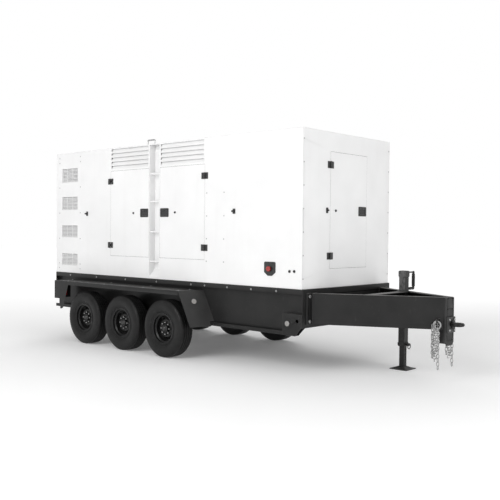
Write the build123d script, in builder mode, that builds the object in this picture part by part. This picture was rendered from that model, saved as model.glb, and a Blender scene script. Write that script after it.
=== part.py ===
"""Towable diesel generator on a triple-axle trailer, modelled as separate pieces, in millimetres.

Frame: +X points towards the towing eye, +Z is up, and Z = 0 is the ground under the tyres.
The origin is on the ground, midway along the overall length and midway between the two sides.
The right-hand side is the -Y side.
"""

from build123d import *
from math import asin, cos, degrees, pi, radians, sin, sqrt
import os

os.makedirs("parts", exist_ok=True)

# Overall sizes
OVERALL_LENGTH = 6907.0
EYE_REACH = 1642.0
BODY_LENGTH = 5265.0
BODY_WIDTH = 1950.0
BODY_HEIGHT = 1971.0
DECK = 1058.0
FRONT = OVERALL_LENGTH / 2 - EYE_REACH
REAR = FRONT - BODY_LENGTH
SIDE = BODY_WIDTH / 2
ROOF = DECK + BODY_HEIGHT
OVERALL_HALF_WIDTH = 1289.5

# Sheet metal
SHEET = 3.0
RETURN = 40.0
GAP = 3.0

# Wheels: 235/85R16 tyres on 8-stud 16-inch wheels
TYRE_RADIUS = 402.6
TYRE_WIDTH = 235.0
RIM_SEAT_RADIUS = 203.2
RIM_FLANGE_RADIUS = 221.0
AXLE_STATIONS = {"front": 2206.5, "middle": 3129.6, "rear": 4052.7}
WHEEL_Y = OVERALL_HALF_WIDTH - TYRE_WIDTH / 2
STUD_COUNT = 8
STUD_CIRCLE = 165.1
HUB_BORE_RADIUS = 30.0
RUNNING_CLEARANCE = 0.05

# Rubber torsion axles
ARM_LENGTH = 152.0
PIVOT_HEIGHT = 436.0
JOURNAL_RADIUS = 25.0
AXLE_TUBE = 76.0

# Base frame side beam, a lipped channel that opens outwards
FRAME_BOTTOM = 481.0
FRAME_LIP = 65.0
FRAME_FOOT = 50.0
FRAME_FACE = 985.0
FRAME_WEB = 915.0
FRAME_PLATE = 10.0
FRAME_NOSE = 22.0

# Doors: distances back from the enclosure's front face, and heights over the deck
DOOR_LOW = 312.0
DOOR_HIGH = 1615.0
REAR_DOOR = (3785.0, 2874.0)
FRONT_DOOR = (2627.0, 1701.0)
CONTROL_DOOR_Y = (-407.0, 411.0)
CONTROL_DOOR_Z = (240.0, 1722.0)
DOOR_DEPTH = 30.0
HINGE_AXIS_OUT = 14.0
HINGE_PIN_RADIUS = 5.0
HINGE_HEIGHTS = (163.0, 1145.0)
HINGE_HEIGHT = 88.0
LATCH_SIZE = (180.0, 126.0)
LATCH_PROUD = 5.0
PADDLE_SIZE = (108.0, 70.0)
PADDLE_PIVOT_RADIUS = 3.0

# Boarding ladder recess in each side
LADDER = (2862.0, 2645.0)
LADDER_DEPTH = 108.0
LADDER_LOW = 20.0
LADDER_HIGH = 1957.0
RUNG_HEIGHTS = (250.0, 686.0, 1130.0, 1535.0)

# Louvres and vents
LOUVRE_PITCH = 64.0
LOUVRE_COUNT = 5
LOUVRE_LOW = 1632.0
VENT_COLUMN = (5105.0, 4665.0)
VENT_HEIGHTS = ((123.0, 312.0), (583.0, 776.0), (1036.0, 1246.0), (1488.0, 1712.0))
SLAT_PITCH = 15.0

# Drawbar
ARM_DEPTH = 381.0
ARM_TOP = 1005.0
ARM_ROOT_Y = 808.0
ARM_TIP_Y = 90.0
ARM_TIP_X = 1452.0
ARM_FLANGE = 86.0
ARM_WEB = 12.0
COUPLER_FACE = 1462.0
COUPLER_WIDTH = 203.0
COUPLER_TOP = 1001.0
COUPLER_BOTTOM = 433.0
COUPLER_HOLE_RADIUS = 9.5
COUPLER_HOLES_Y = 115.0
COUPLER_HOLE_PITCH = 122.0
COUPLER_HOLE_TOP = 986.0
EYE_HEIGHT = 687.0
EYE_BAR = 21.0
EYE_BORE_RADIUS = 38.0

# Jack, inside the left-hand drawbar arm
JACK = (612.0, 377.0)
JACK_TUBE = 90.0
JACK_COLLAR = 102.0
JACK_LEG = 68.0
JACK_TOP = 1272.0
JACK_TUBE_END = 345.0
JACK_COLLAR_END = 293.0
JACK_PIN_HEIGHT = 318.0
JACK_FOOT = 254.0
CRANK_HEIGHT = 1247.0


def block(x, y, z, mode=Mode.ADD):
    """A box between two x, two y and two z values, in the part being built."""
    with Locations(((x[0] + x[1]) / 2, (y[0] + y[1]) / 2, (z[0] + z[1]) / 2)):
        Box(abs(x[1] - x[0]), abs(y[1] - y[0]), abs(z[1] - z[0]), mode=mode)


def rod(start, end, radius, mode=Mode.ADD):
    """A round bar or a round hole from one point to another, in the part being built."""
    run = Vector(*end) - Vector(*start)
    with BuildSketch(Plane(origin=start, z_dir=run)) as outline:
        Circle(radius)
    extrude(outline.sketch, amount=run.length, mode=mode)


def hexagon(start, end, flats, mode=Mode.ADD):
    """A hexagonal bar from one point to another, in the part being built."""
    run = Vector(*end) - Vector(*start)
    with BuildSketch(Plane(origin=start, z_dir=run)) as outline:
        RegularPolygon(flats / 2, 6, major_radius=False)
    extrude(outline.sketch, amount=run.length, mode=mode)


def back(station):
    """The x of a place given by its distance behind the enclosure's front face."""
    return FRONT - station


def write(shape, name):
    """Labels one finished piece and writes it to its own STEP file."""
    shape.label = name
    export_step(shape, f"parts/{name}.step")


def write_both_sides(shape, name):
    """Writes a right-hand piece and its mirror image for the left-hand side."""
    write(shape, f"{name}_right")
    write(mirror(shape, about=Plane.XZ), f"{name}_left")


def with_mirror(shape):
    """A right-hand piece and its mirror image, as one group of solids."""
    other = mirror(shape, about=Plane.XZ)
    return Compound(children=[*shape.solids(), *other.solids()])


# ---------------------------------------------------------------- wheels and suspension


def tyre():
    """A radial tyre about the Y axis, with an open inside and four tread grooves."""
    half = TYRE_WIDTH / 2
    with BuildPart() as part:
        with BuildSketch(Plane.XY):
            with BuildLine():
                Spline(
                    (RIM_SEAT_RADIUS, -half + 26),
                    (RIM_FLANGE_RADIUS + 6, -half + 16),
                    (300, -half),
                    (356, -half + 4),
                    (TYRE_RADIUS - 16, -half + 18),
                )
                Line((TYRE_RADIUS - 16, -half + 18), (TYRE_RADIUS - 4, -half + 30))
                ThreePointArc(
                    (TYRE_RADIUS - 4, -half + 30), (TYRE_RADIUS, 0), (TYRE_RADIUS - 4, half - 30)
                )
                Line((TYRE_RADIUS - 4, half - 30), (TYRE_RADIUS - 16, half - 18))
                Spline(
                    (TYRE_RADIUS - 16, half - 18),
                    (356, half - 4),
                    (300, half),
                    (RIM_FLANGE_RADIUS + 6, half - 16),
                    (RIM_SEAT_RADIUS, half - 26),
                )
                Line((RIM_SEAT_RADIUS, half - 26), (RIM_SEAT_RADIUS, half - 48))
                Spline(
                    (RIM_SEAT_RADIUS, half - 48),
                    (245, half - 36),
                    (310, half - 14),
                    (TYRE_RADIUS - 34, half - 40),
                )
                Line((TYRE_RADIUS - 34, half - 40), (TYRE_RADIUS - 30, 0))
                Line((TYRE_RADIUS - 30, 0), (TYRE_RADIUS - 34, -half + 40))
                Spline(
                    (TYRE_RADIUS - 34, -half + 40),
                    (310, -half + 14),
                    (245, -half + 36),
                    (RIM_SEAT_RADIUS, -half + 48),
                )
                Line((RIM_SEAT_RADIUS, -half + 48), (RIM_SEAT_RADIUS, -half + 26))
            make_face()
        revolve(axis=Axis.Y)
        groove_depth = 11
        for centre in (-54, -18, 18, 54):
            with BuildSketch(Plane.XY):
                with Locations((TYRE_RADIUS, centre)):
                    Rectangle(2 * groove_depth, 9)
            revolve(axis=Axis.Y, mode=Mode.SUBTRACT)
    return part.part


def wheel():
    """A dished steel wheel with its hub, brake drum and nuts; the outside faces -Y."""
    half = TYRE_WIDTH / 2
    disc_out = -8
    disc_in = 4
    with BuildPart() as rim:
        with BuildSketch(Plane.XY):
            with BuildLine():
                Polyline(
                    (RIM_FLANGE_RADIUS, -half + 10),
                    (RIM_FLANGE_RADIUS, -half + 15.5),
                    (RIM_SEAT_RADIUS, -half + 25.5),
                    (RIM_SEAT_RADIUS, -half + 50),
                    (184, -half + 62),
                    (184, half - 62),
                    (RIM_SEAT_RADIUS, half - 50),
                    (RIM_SEAT_RADIUS, half - 25.5),
                    (RIM_FLANGE_RADIUS, half - 15.5),
                    (RIM_FLANGE_RADIUS, half - 10),
                    (RIM_SEAT_RADIUS - 7, half - 18),
                    (RIM_SEAT_RADIUS - 7, half - 48),
                    (177, half - 60),
                    (177, disc_in),
                    (150, disc_in),
                    (118, disc_in - 26),
                    (63, disc_in - 26),
                    (63, disc_out - 26),
                    (122, disc_out - 26),
                    (154, disc_out),
                    (177, disc_out),
                    (177, -half + 60),
                    (RIM_SEAT_RADIUS - 7, -half + 48),
                    (RIM_SEAT_RADIUS - 7, -half + 18),
                    close=True,
                )
            make_face()
        revolve(axis=Axis.Y)
        hand_hole_radius = 14
        with BuildSketch(Plane.XZ.offset(-half)):
            with PolarLocations(152, STUD_COUNT, start_angle=180 / STUD_COUNT):
                Circle(hand_hole_radius)
        extrude(amount=TYRE_WIDTH, mode=Mode.SUBTRACT)
        with BuildSketch(Plane.XZ.offset(-half)):
            with PolarLocations(STUD_CIRCLE / 2, STUD_COUNT):
                Circle(8)
        extrude(amount=TYRE_WIDTH, mode=Mode.SUBTRACT)
    with BuildPart() as drum:
        with BuildSketch(Plane.XY):
            with BuildLine():
                Polyline(
                    (HUB_BORE_RADIUS + RUNNING_CLEARANCE, 62),
                    (HUB_BORE_RADIUS + RUNNING_CLEARANCE, -62),
                    (55, -62),
                    (60, disc_in - 26),
                    (112, disc_in - 26),
                    (116, 2),
                    (168, 12),
                    (168, 78),
                    (158, 78),
                    (158, 22),
                    (60, 14),
                    (56, 62),
                    close=True,
                )
            make_face()
        revolve(axis=Axis.Y)
    nuts = []
    nut_face = disc_out - 26
    for index in range(STUD_COUNT):
        angle = radians(360 / STUD_COUNT * index)
        x = STUD_CIRCLE / 2 * cos(angle)
        z = STUD_CIRCLE / 2 * sin(angle)
        with BuildPart() as nut:
            hexagon((x, nut_face, z), (x, nut_face - 17, z), 22)
            rod((x, nut_face - 17, z), (x, nut_face - 26, z), 7)
        nuts.append(nut.part)
    with BuildPart() as cap:
        with BuildSketch(Plane.XY):
            with BuildLine():
                Polyline((0, -62), (0, -84), (28, -84), (34, -78), (38, -62), close=True)
            make_face()
        revolve(axis=Axis.Y)
    return Compound(children=[rim.part, drum.part, cap.part, *nuts])


def suspension_arm():
    """A torsion-axle arm about its own wheel centre, with spindle, journal and brake backing plate."""
    rise = PIVOT_HEIGHT - TYRE_RADIUS
    reach = sqrt(ARM_LENGTH**2 - rise**2)
    arm_face = WHEEL_Y - 1036
    arm_back = WHEEL_Y - 1004
    with BuildPart() as part:
        with BuildSketch(Plane.XZ.offset(-arm_face)):
            with Locations((reach / 2, rise / 2)):
                SlotCenterToCenter(ARM_LENGTH, 88, rotation=degrees(asin(rise / ARM_LENGTH)))
        extrude(amount=arm_face - arm_back)
        rod((0, arm_face, 0), (0, -60, 0), HUB_BORE_RADIUS)
        rod((0, arm_face, 0), (0, 84, 0), 60)
        rod((0, 84, 0), (0, 80, 0), 165)
        rod((reach, arm_back, rise), (reach, arm_back + 66, rise), JOURNAL_RADIUS)
    return part.part


def axle_tubes():
    """Three square torsion tubes, each with a bore at both ends and brackets up to the frame."""
    rise = PIVOT_HEIGHT - TYRE_RADIUS
    reach = sqrt(ARM_LENGTH**2 - rise**2)
    half_length = 1000.0
    half = AXLE_TUBE / 2
    tubes = []
    for station in AXLE_STATIONS.values():
        x = back(station) + reach
        with BuildPart() as tube:
            block((x - half, x + half), (-half_length, half_length),
                  (PIVOT_HEIGHT - half, PIVOT_HEIGHT + half))
            rod((x, -half_length, PIVOT_HEIGHT), (x, half_length, PIVOT_HEIGHT),
                JOURNAL_RADIUS + RUNNING_CLEARANCE, mode=Mode.SUBTRACT)
            for y in (-FRAME_FACE + 5, FRAME_WEB - 25):
                block((x - 70, x + 70), (y, y + 90), (PIVOT_HEIGHT + half, FRAME_BOTTOM))
        tubes.append(tube.part)
    return Compound(children=tubes)


# ---------------------------------------------------------------- base frame and fenders


def frame_side(part_side):
    """One lipped channel side beam, along the whole enclosure, added to the part being built."""
    web = FRAME_WEB * part_side
    face = FRAME_FACE * part_side
    skin = 8 * part_side
    x = (REAR + 4, FRONT + FRAME_NOSE - FRAME_PLATE)
    with BuildSketch(Plane.YZ.offset(x[0])) as outline:
        with BuildLine():
            Polyline(
                (web, DECK),
                (face, DECK),
                (face, DECK - FRAME_LIP),
                (face - skin, DECK - FRAME_LIP),
                (face - skin, DECK - FRAME_PLATE),
                (web + skin, DECK - FRAME_PLATE),
                (web + skin, FRAME_BOTTOM + FRAME_PLATE),
                (face - skin, FRAME_BOTTOM + FRAME_PLATE),
                (face - skin, FRAME_BOTTOM + FRAME_FOOT),
                (face, FRAME_BOTTOM + FRAME_FOOT),
                (face, FRAME_BOTTOM),
                (web, FRAME_BOTTOM),
                close=True,
            )
        make_face()
    extrude(outline.sketch, amount=x[1] - x[0])


TIE_DOWN_LENGTH = 305.0
TIE_DOWN_TOP = 752.0
TIE_DOWN_PLATE = 12.0
TIE_DOWN_HOLE = (74.0, 667.0)
TIE_DOWN_HOLE_RADIUS = 22.5
TIE_DOWN_DISC = (223.0, 628.0)
FLANGE_Y = (-912.0, -806.0)
FLANGE_BOLT_Y = -861.0
FLANGE_BOLT_Z = (970.0, 664.0)
FLANGE_THICKNESS = 16.0
BOLT_RADIUS = 12.0


def base_frame():
    """The welded trailer frame: side beams, end plates, cross-members, deck and tie-down corners."""
    front_face = FRONT + FRAME_NOSE
    with BuildPart() as part:
        for part_side in (-1, 1):
            frame_side(part_side)
            y = sorted((part_side * FRAME_FACE, part_side * (FRAME_FACE + TIE_DOWN_PLATE)))
            block((front_face - TIE_DOWN_LENGTH, front_face), y, (FRAME_BOTTOM, TIE_DOWN_TOP))
            shelf = sorted((part_side * FRAME_WEB, part_side * (FRAME_FACE + TIE_DOWN_PLATE)))
            block((front_face - TIE_DOWN_LENGTH, front_face), shelf, (TIE_DOWN_TOP - 8, TIE_DOWN_TOP))
        block((front_face - FRAME_PLATE, front_face), (-FRAME_FACE, FRAME_FACE), (FRAME_BOTTOM, DECK))
        block((REAR + 4, REAR + 4 + FRAME_PLATE), (-FRAME_FACE, FRAME_FACE), (FRAME_BOTTOM + 240, DECK))
        block((REAR + 4, front_face - FRAME_PLATE), (-FRAME_WEB, FRAME_WEB), (DECK - 8, DECK))
        for station in (250, 1050, 1850, 2650, 3450, 4250, 4950):
            block((back(station) - 8, back(station) + 8), (-FRAME_WEB, FRAME_WEB), (DECK - 128, DECK - 8))
        for part_side in (-1, 1):
            reach = part_side * (FRAME_FACE + TIE_DOWN_PLATE + 1)
            hole = (front_face - TIE_DOWN_HOLE[0], TIE_DOWN_HOLE[1])
            rod((hole[0], part_side * (FRAME_FACE - 1), hole[1]), (hole[0], reach, hole[1]),
                TIE_DOWN_HOLE_RADIUS, mode=Mode.SUBTRACT)
            for height in FLANGE_BOLT_Z:
                y = part_side * FLANGE_BOLT_Y
                rod((front_face - FRAME_PLATE - 1, y, height), (front_face + 1, y, height),
                    BOLT_RADIUS + 1, mode=Mode.SUBTRACT)
        cut = 110
        with BuildSketch(Plane.XZ.offset(-FRAME_FACE - 100)):
            with BuildLine():
                Polyline((front_face + 1, FRAME_BOTTOM + cut), (front_face + 1, FRAME_BOTTOM - 1),
                         (front_face - cut, FRAME_BOTTOM - 1), close=True)
            make_face()
        extrude(amount=2 * (FRAME_FACE + 100), mode=Mode.SUBTRACT)
    return part.part


FENDER_TOP = 946.0
FENDER_LIP = 59.0
FENDER_REAR = 4841.0
FENDER_FRONT = 1883.0
FENDER_INNER_FRONT = 1756.0
SPLASH_LOW = 472.0
FENDER_BOLT_STATIONS = (3727.0, 2789.0, 1957.0, 4759.0)
FENDER_EDGE_BOLT_STATIONS = (4504.0, 3569.0, 2654.0, 1903.0)


def fender():
    """The right-hand fender: top sheet, outer lip, slanted splash plate and boxed rear end."""
    outer = -OVERALL_HALF_WIDTH
    inner = -FRAME_WEB - 10
    with BuildPart() as part:
        with BuildSketch(Plane.XY.offset(FENDER_TOP - SHEET)):
            with BuildLine():
                Polyline(
                    (back(FENDER_REAR), outer),
                    (back(FENDER_FRONT), outer),
                    (back(FENDER_INNER_FRONT), inner),
                    (back(FENDER_REAR), inner),
                    close=True,
                )
            make_face()
        extrude(amount=SHEET)
        block((back(FENDER_REAR), back(FENDER_FRONT)), (outer, outer + SHEET),
              (FENDER_TOP - FENDER_LIP, FENDER_TOP))
        with BuildSketch(Plane.XZ.offset(-outer - SHEET)):
            with BuildLine():
                Polyline(
                    (back(FENDER_REAR), FENDER_TOP),
                    (back(4420), FENDER_TOP),
                    (back(4462), FENDER_TOP - FENDER_LIP),
                    (back(4601), 520),
                    (back(4640), 501),
                    (back(FENDER_REAR), 501),
                    close=True,
                )
            make_face()
        extrude(amount=SHEET)
        block((back(FENDER_REAR), back(FENDER_REAR) + SHEET), (outer, -FRAME_FACE - 1), (501, FENDER_TOP))
        with BuildSketch(Plane.XZ.offset(-outer - 400)):
            with BuildLine():
                Polyline(
                    (back(4850), 660), (back(4680), 660), (back(4680), 490), (back(4850), 490), close=True
                )
            make_face()
        extrude(amount=450, mode=Mode.SUBTRACT)
        top_out = Vector(back(FENDER_FRONT), outer, FENDER_TOP)
        top_in = Vector(back(FENDER_INNER_FRONT), inner, FENDER_TOP)
        across = top_in - top_out
        down = Vector(back(1636), outer, SPLASH_LOW) - top_out
        splash = Plane(origin=top_out, x_dir=across, z_dir=across.cross(down))
        corners = []
        for y, z in (
            (outer, FENDER_TOP),
            (outer, SPLASH_LOW),
            (-FRAME_FACE - 4, SPLASH_LOW),
            (-FRAME_FACE - 4, FRAME_BOTTOM + FRAME_FOOT + 4),
            (inner, FRAME_BOTTOM + FRAME_FOOT + 4),
            (inner, FENDER_TOP),
        ):
            place = top_out + across * ((y - outer) / across.Y) + down * ((z - FENDER_TOP) / down.Z)
            local = splash.to_local_coords(place)
            corners.append((local.X, local.Y))
        with BuildSketch(splash):
            with BuildLine():
                Polyline(*corners, close=True)
            make_face()
        extrude(amount=SHEET)
        for station in (2430, 3330, 4330):
            block((back(station), back(station) + 6), (outer + 30, inner),
                  (FENDER_TOP - 70, FENDER_TOP - SHEET))
    return part.part


# ---------------------------------------------------------------- drawbar, coupler and jack


def arm_y(ahead):
    """Distance from the centre plane to a drawbar arm's outer face, at a place ahead of the enclosure."""
    root_x = FRAME_NOSE + FLANGE_THICKNESS
    return ARM_ROOT_Y + (ARM_TIP_Y - ARM_ROOT_Y) * (ahead - root_x) / (ARM_TIP_X - root_x)


def drawbar_band(ahead, thickness, z, side):
    """A strip of one arm in plan, as deep inward as thickness, between two heights."""
    slant = (ARM_ROOT_Y - ARM_TIP_Y) / (ARM_TIP_X - FRAME_NOSE - FLANGE_THICKNESS)
    inward = thickness * sqrt(1 + slant**2)
    with BuildSketch(Plane.XY.offset(z[0])) as outline:
        with BuildLine():
            Polyline(
                (FRONT + ahead[0], side * arm_y(ahead[0])),
                (FRONT + ahead[1], side * arm_y(ahead[1])),
                (FRONT + ahead[1], side * (arm_y(ahead[1]) - inward)),
                (FRONT + ahead[0], side * (arm_y(ahead[0]) - inward)),
                close=True,
            )
        make_face()
    extrude(outline.sketch, amount=z[1] - z[0])


CROSS_MEMBER = (554.0, 670.0)


def drawbar():
    """The welded A-frame: two channel arms, root flanges, cross-member and the coupler channel."""
    root = FRAME_NOSE + FLANGE_THICKNESS
    low = ARM_TOP - ARM_DEPTH
    with BuildPart() as part:
        for side in (-1, 1):
            drawbar_band((root, ARM_TIP_X), ARM_WEB, (low, ARM_TOP), side)
            drawbar_band((root, ARM_TIP_X), ARM_FLANGE, (low, low + ARM_WEB), side)
            drawbar_band((root, ARM_TIP_X), ARM_FLANGE, (ARM_TOP - ARM_WEB, ARM_TOP), side)
            y = sorted((side * FLANGE_Y[0], side * (FLANGE_Y[1] + 100)))
            block((FRONT + FRAME_NOSE, FRONT + root), y, (low - 2, ARM_TOP + 6))
        for z in ((ARM_TOP - 10, ARM_TOP), (ARM_TOP - 180, ARM_TOP - 170)):
            with BuildSketch(Plane.XY.offset(z[0])):
                with BuildLine():
                    near = arm_y(CROSS_MEMBER[0]) - 6
                    far = arm_y(CROSS_MEMBER[1]) - 6
                    Polyline(
                        (FRONT + CROSS_MEMBER[0], -near),
                        (FRONT + CROSS_MEMBER[1], -far),
                        (FRONT + CROSS_MEMBER[1], far),
                        (FRONT + CROSS_MEMBER[0], near),
                        close=True,
                    )
                make_face()
            extrude(amount=z[1] - z[0])
        web_y = arm_y(CROSS_MEMBER[0]) - 6
        block((FRONT + CROSS_MEMBER[0], FRONT + CROSS_MEMBER[0] + 8), (-web_y, web_y),
              (ARM_TOP - 180, ARM_TOP))
        half = JACK_TUBE / 2 + 1
        jack_x = FRONT + JACK[0]
        block((jack_x - half, jack_x + half), (JACK[1] - half, JACK[1] + half), (low, ARM_TOP + 1),
              mode=Mode.SUBTRACT)
        coupler_channel()
        for side in (-1, 1):
            lug_y = sorted((side * (COUPLER_WIDTH / 2 - 2), side * (COUPLER_WIDTH / 2 + 100)))
            block((FRONT + CHAIN_X - 6, FRONT + CHAIN_X + 6), lug_y, (CHAIN_Z - 26, CHAIN_Z + 26))
            hook = side * (COUPLER_WIDTH / 2 + 72)
            rod((FRONT + CHAIN_X - 7, hook, CHAIN_Z), (FRONT + CHAIN_X + 7, hook, CHAIN_Z), 17,
                mode=Mode.SUBTRACT)
        for side in (-1, 1):
            for height in FLANGE_BOLT_Z:
                y = side * FLANGE_BOLT_Y
                rod((FRONT + FRAME_NOSE - 1, y, height), (FRONT + root + 1, y, height),
                    BOLT_RADIUS + 1, mode=Mode.SUBTRACT)
    return part.part


CHAIN_X = 1392.0
CHAIN_Z = 728.0


def coupler_channel():
    """The upright channel on the drawbar's nose, with five rows of bolt holes for the eye."""
    face = FRONT + COUPLER_FACE
    half = COUPLER_WIDTH / 2
    block((face - 10, face), (-half, half), (COUPLER_BOTTOM, COUPLER_TOP))
    for side in (-1, 1):
        block((face - 92, face), sorted((side * half, side * (half - 10))), (COUPLER_BOTTOM, COUPLER_TOP))
    block((face - 92, face), (-half, half), (COUPLER_TOP - 10, COUPLER_TOP))
    for row in range(5):
        height = COUPLER_HOLE_TOP - row * COUPLER_HOLE_PITCH
        for y in (-COUPLER_HOLES_Y / 2, COUPLER_HOLES_Y / 2):
            rod((face - 30, y, height), (face + 1, y, height), COUPLER_HOLE_RADIUS, mode=Mode.SUBTRACT)
    cut = 34
    for side in (-1, 1):
        with BuildSketch(Plane.YZ.offset(face - 100)) as outline:
            with BuildLine():
                Polyline((side * (half + 1), COUPLER_BOTTOM + cut), (side * (half + 1), COUPLER_BOTTOM - 1),
                         (side * (half - cut), COUPLER_BOTTOM - 1), close=True)
            make_face()
        extrude(outline.sketch, amount=120, mode=Mode.SUBTRACT)


EYE_PLATE = 25.0
EYE_ROWS = (2, 3)


def lunette_eye():
    """A bolt-on towing eye: back plate, gusseted shank and a ring with a straight bore."""
    face = FRONT + COUPLER_FACE
    ring = EYE_BORE_RADIUS + EYE_BAR - 2
    centre = FRONT + EYE_REACH - ring - EYE_BAR
    rows = [COUPLER_HOLE_TOP - row * COUPLER_HOLE_PITCH for row in EYE_ROWS]
    with BuildPart() as part:
        block((face, face + EYE_PLATE), (-86, 86), (rows[1] - 31, rows[0] + 31))
        with BuildSketch(Plane.XZ):
            with Locations((centre + ring, EYE_HEIGHT)):
                Circle(EYE_BAR)
        revolve(axis=Axis((centre, 0, 0), (0, 0, 1)))
        block((face + EYE_PLATE, centre - ring + 4), (-30, 30), (EYE_HEIGHT - 20, EYE_HEIGHT + 20))
        block((face + EYE_PLATE, centre - ring - 10), (-8, 8), (EYE_HEIGHT - 52, EYE_HEIGHT + 52))
        rod((centre, 0, EYE_HEIGHT - 40), (centre, 0, EYE_HEIGHT + 40), EYE_BORE_RADIUS, mode=Mode.SUBTRACT)
        for height in rows:
            for y in (-COUPLER_HOLES_Y / 2, COUPLER_HOLES_Y / 2):
                rod((face - 1, y, height), (face + EYE_PLATE + 1, y, height), COUPLER_HOLE_RADIUS,
                    mode=Mode.SUBTRACT)
    return part.part


def square(half, z, mode=Mode.ADD):
    """A square bar about the jack's own centre line, in the part being built."""
    x = FRONT + JACK[0]
    y = JACK[1]
    block((x - half, x + half), (y - half, y + half), z, mode)


JACK_WALL = 5.0
RAM_HALF = 39.9
RAM_TOP = 820.0
LEG_TOP = 560.0
LEG_WALL = 5.0
CRANK_SHAFT_RADIUS = 10.0
CRANK_REACH = 198.0
CRANK_DROP = 212.0
PIN_RADIUS = 8.0
PIN_CLEAR_OF_LEG = 0.8


def jack_housing():
    """The jack's fixed outer tube, top gear case and the flange that sits on the cross-member."""
    half = JACK_TUBE / 2
    x = FRONT + JACK[0]
    y = JACK[1]
    with BuildPart() as part:
        square(half, (JACK_TUBE_END, JACK_TOP))
        with BuildSketch(Plane.XY.offset(ARM_TOP)):
            with Locations((x, y)):
                Rectangle(112, 2 * half + 12)
        extrude(amount=8)
        block((x - half - 8, x + half + 8), (y - half - 5, y + half + 5), (CRANK_HEIGHT - 52, JACK_TOP - 6))
        square(half - JACK_WALL, (JACK_TUBE_END - 1, JACK_TOP - 8), mode=Mode.SUBTRACT)
        rod((x, y + half - 10, CRANK_HEIGHT), (x, y + half + 16, CRANK_HEIGHT), 20)
        rod((x, y + half - 11, CRANK_HEIGHT), (x, y + half + 17, CRANK_HEIGHT),
            CRANK_SHAFT_RADIUS + RUNNING_CLEARANCE, mode=Mode.SUBTRACT)
    return part.part


def jack_ram():
    """The screw-driven inner tube, with the collar that holds the drop leg's pin."""
    x = FRONT + JACK[0]
    y = JACK[1]
    with BuildPart() as part:
        square(RAM_HALF, (JACK_COLLAR_END, RAM_TOP))
        square(JACK_COLLAR / 2, (JACK_COLLAR_END + 14, JACK_TUBE_END - 0.5))
        with BuildSketch(Plane.XY.offset(JACK_COLLAR_END)):
            with Locations((x, y)):
                Rectangle(JACK_COLLAR - 18, JACK_COLLAR - 18)
        with BuildSketch(Plane.XY.offset(JACK_COLLAR_END + 14)):
            with Locations((x, y)):
                Rectangle(JACK_COLLAR, JACK_COLLAR)
        loft()
        rod((x + RAM_HALF, y, JACK_PIN_HEIGHT), (x + JACK_COLLAR / 2 + 18, y, JACK_PIN_HEIGHT), 14)
        square(JACK_LEG / 2 + 0.5, (JACK_COLLAR_END - 1, RAM_TOP + 1), mode=Mode.SUBTRACT)
        rod((x, y, JACK_PIN_HEIGHT), (x + JACK_COLLAR, y, JACK_PIN_HEIGHT), PIN_RADIUS + RUNNING_CLEARANCE,
            mode=Mode.SUBTRACT)
    return part.part


def jack_drop_leg():
    """The inner leg with its row of pin holes and a dished foot."""
    x = FRONT + JACK[0]
    y = JACK[1]
    with BuildPart() as part:
        square(JACK_LEG / 2, (30, LEG_TOP))
        with BuildSketch(Plane.XY):
            with Locations((x, y)):
                RectangleRounded(JACK_FOOT, JACK_FOOT, 16)
        extrude(amount=10)
        with BuildSketch(Plane.XY.offset(10)):
            with Locations((x, y)):
                Rectangle(JACK_FOOT - 60, JACK_FOOT - 60)
        with BuildSketch(Plane.XY.offset(36)):
            with Locations((x, y)):
                Rectangle(JACK_LEG + 14, JACK_LEG + 14)
        loft()
        square(JACK_LEG / 2 - LEG_WALL, (40, LEG_TOP + 1), mode=Mode.SUBTRACT)
        for height in (JACK_PIN_HEIGHT, JACK_PIN_HEIGHT - 65, JACK_PIN_HEIGHT - 130, JACK_PIN_HEIGHT - 195):
            rod((x, y, height), (x + JACK_LEG, y, height), PIN_RADIUS + 0.5, mode=Mode.SUBTRACT)
    return part.part


def jack_crank():
    """The side-wind crank: shaft, hanging arm and a grip that folds back towards the tube."""
    x = FRONT + JACK[0]
    inner = JACK[1] + JACK_TUBE / 2 - 16
    outer = JACK[1] + JACK_TUBE / 2 + CRANK_REACH
    with BuildPart() as part:
        rod((x, inner, CRANK_HEIGHT), (x, outer, CRANK_HEIGHT), CRANK_SHAFT_RADIUS)
        with BuildSketch(Plane.XZ.offset(-outer)):
            with Locations((x, CRANK_HEIGHT - CRANK_DROP / 2)):
                SlotCenterToCenter(CRANK_DROP, 30, rotation=90)
        extrude(amount=10)
        rod((x, outer - 2, CRANK_HEIGHT - CRANK_DROP), (x, outer - 120, CRANK_HEIGHT - CRANK_DROP), 13)
    return part.part


def jack_pin():
    """The pull pin that locks the drop leg, with its ring head, drawn back until it just clears the leg."""
    x = FRONT + JACK[0]
    y = JACK[1]
    start = x + JACK_LEG / 2 + PIN_CLEAR_OF_LEG
    face = x + JACK_COLLAR / 2 + 18.5
    with BuildPart() as part:
        rod((start, y, JACK_PIN_HEIGHT), (face + 14, y, JACK_PIN_HEIGHT), PIN_RADIUS)
        rod((face, y, JACK_PIN_HEIGHT), (face + 14, y, JACK_PIN_HEIGHT), 19)
    return part.part


LINK_WIRE = 5.0
LINK_LENGTH = 56.0
LINK_WIDTH = 38.0
LINK_PITCH = 45.0
RING_RADIUS = 45.0


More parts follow.
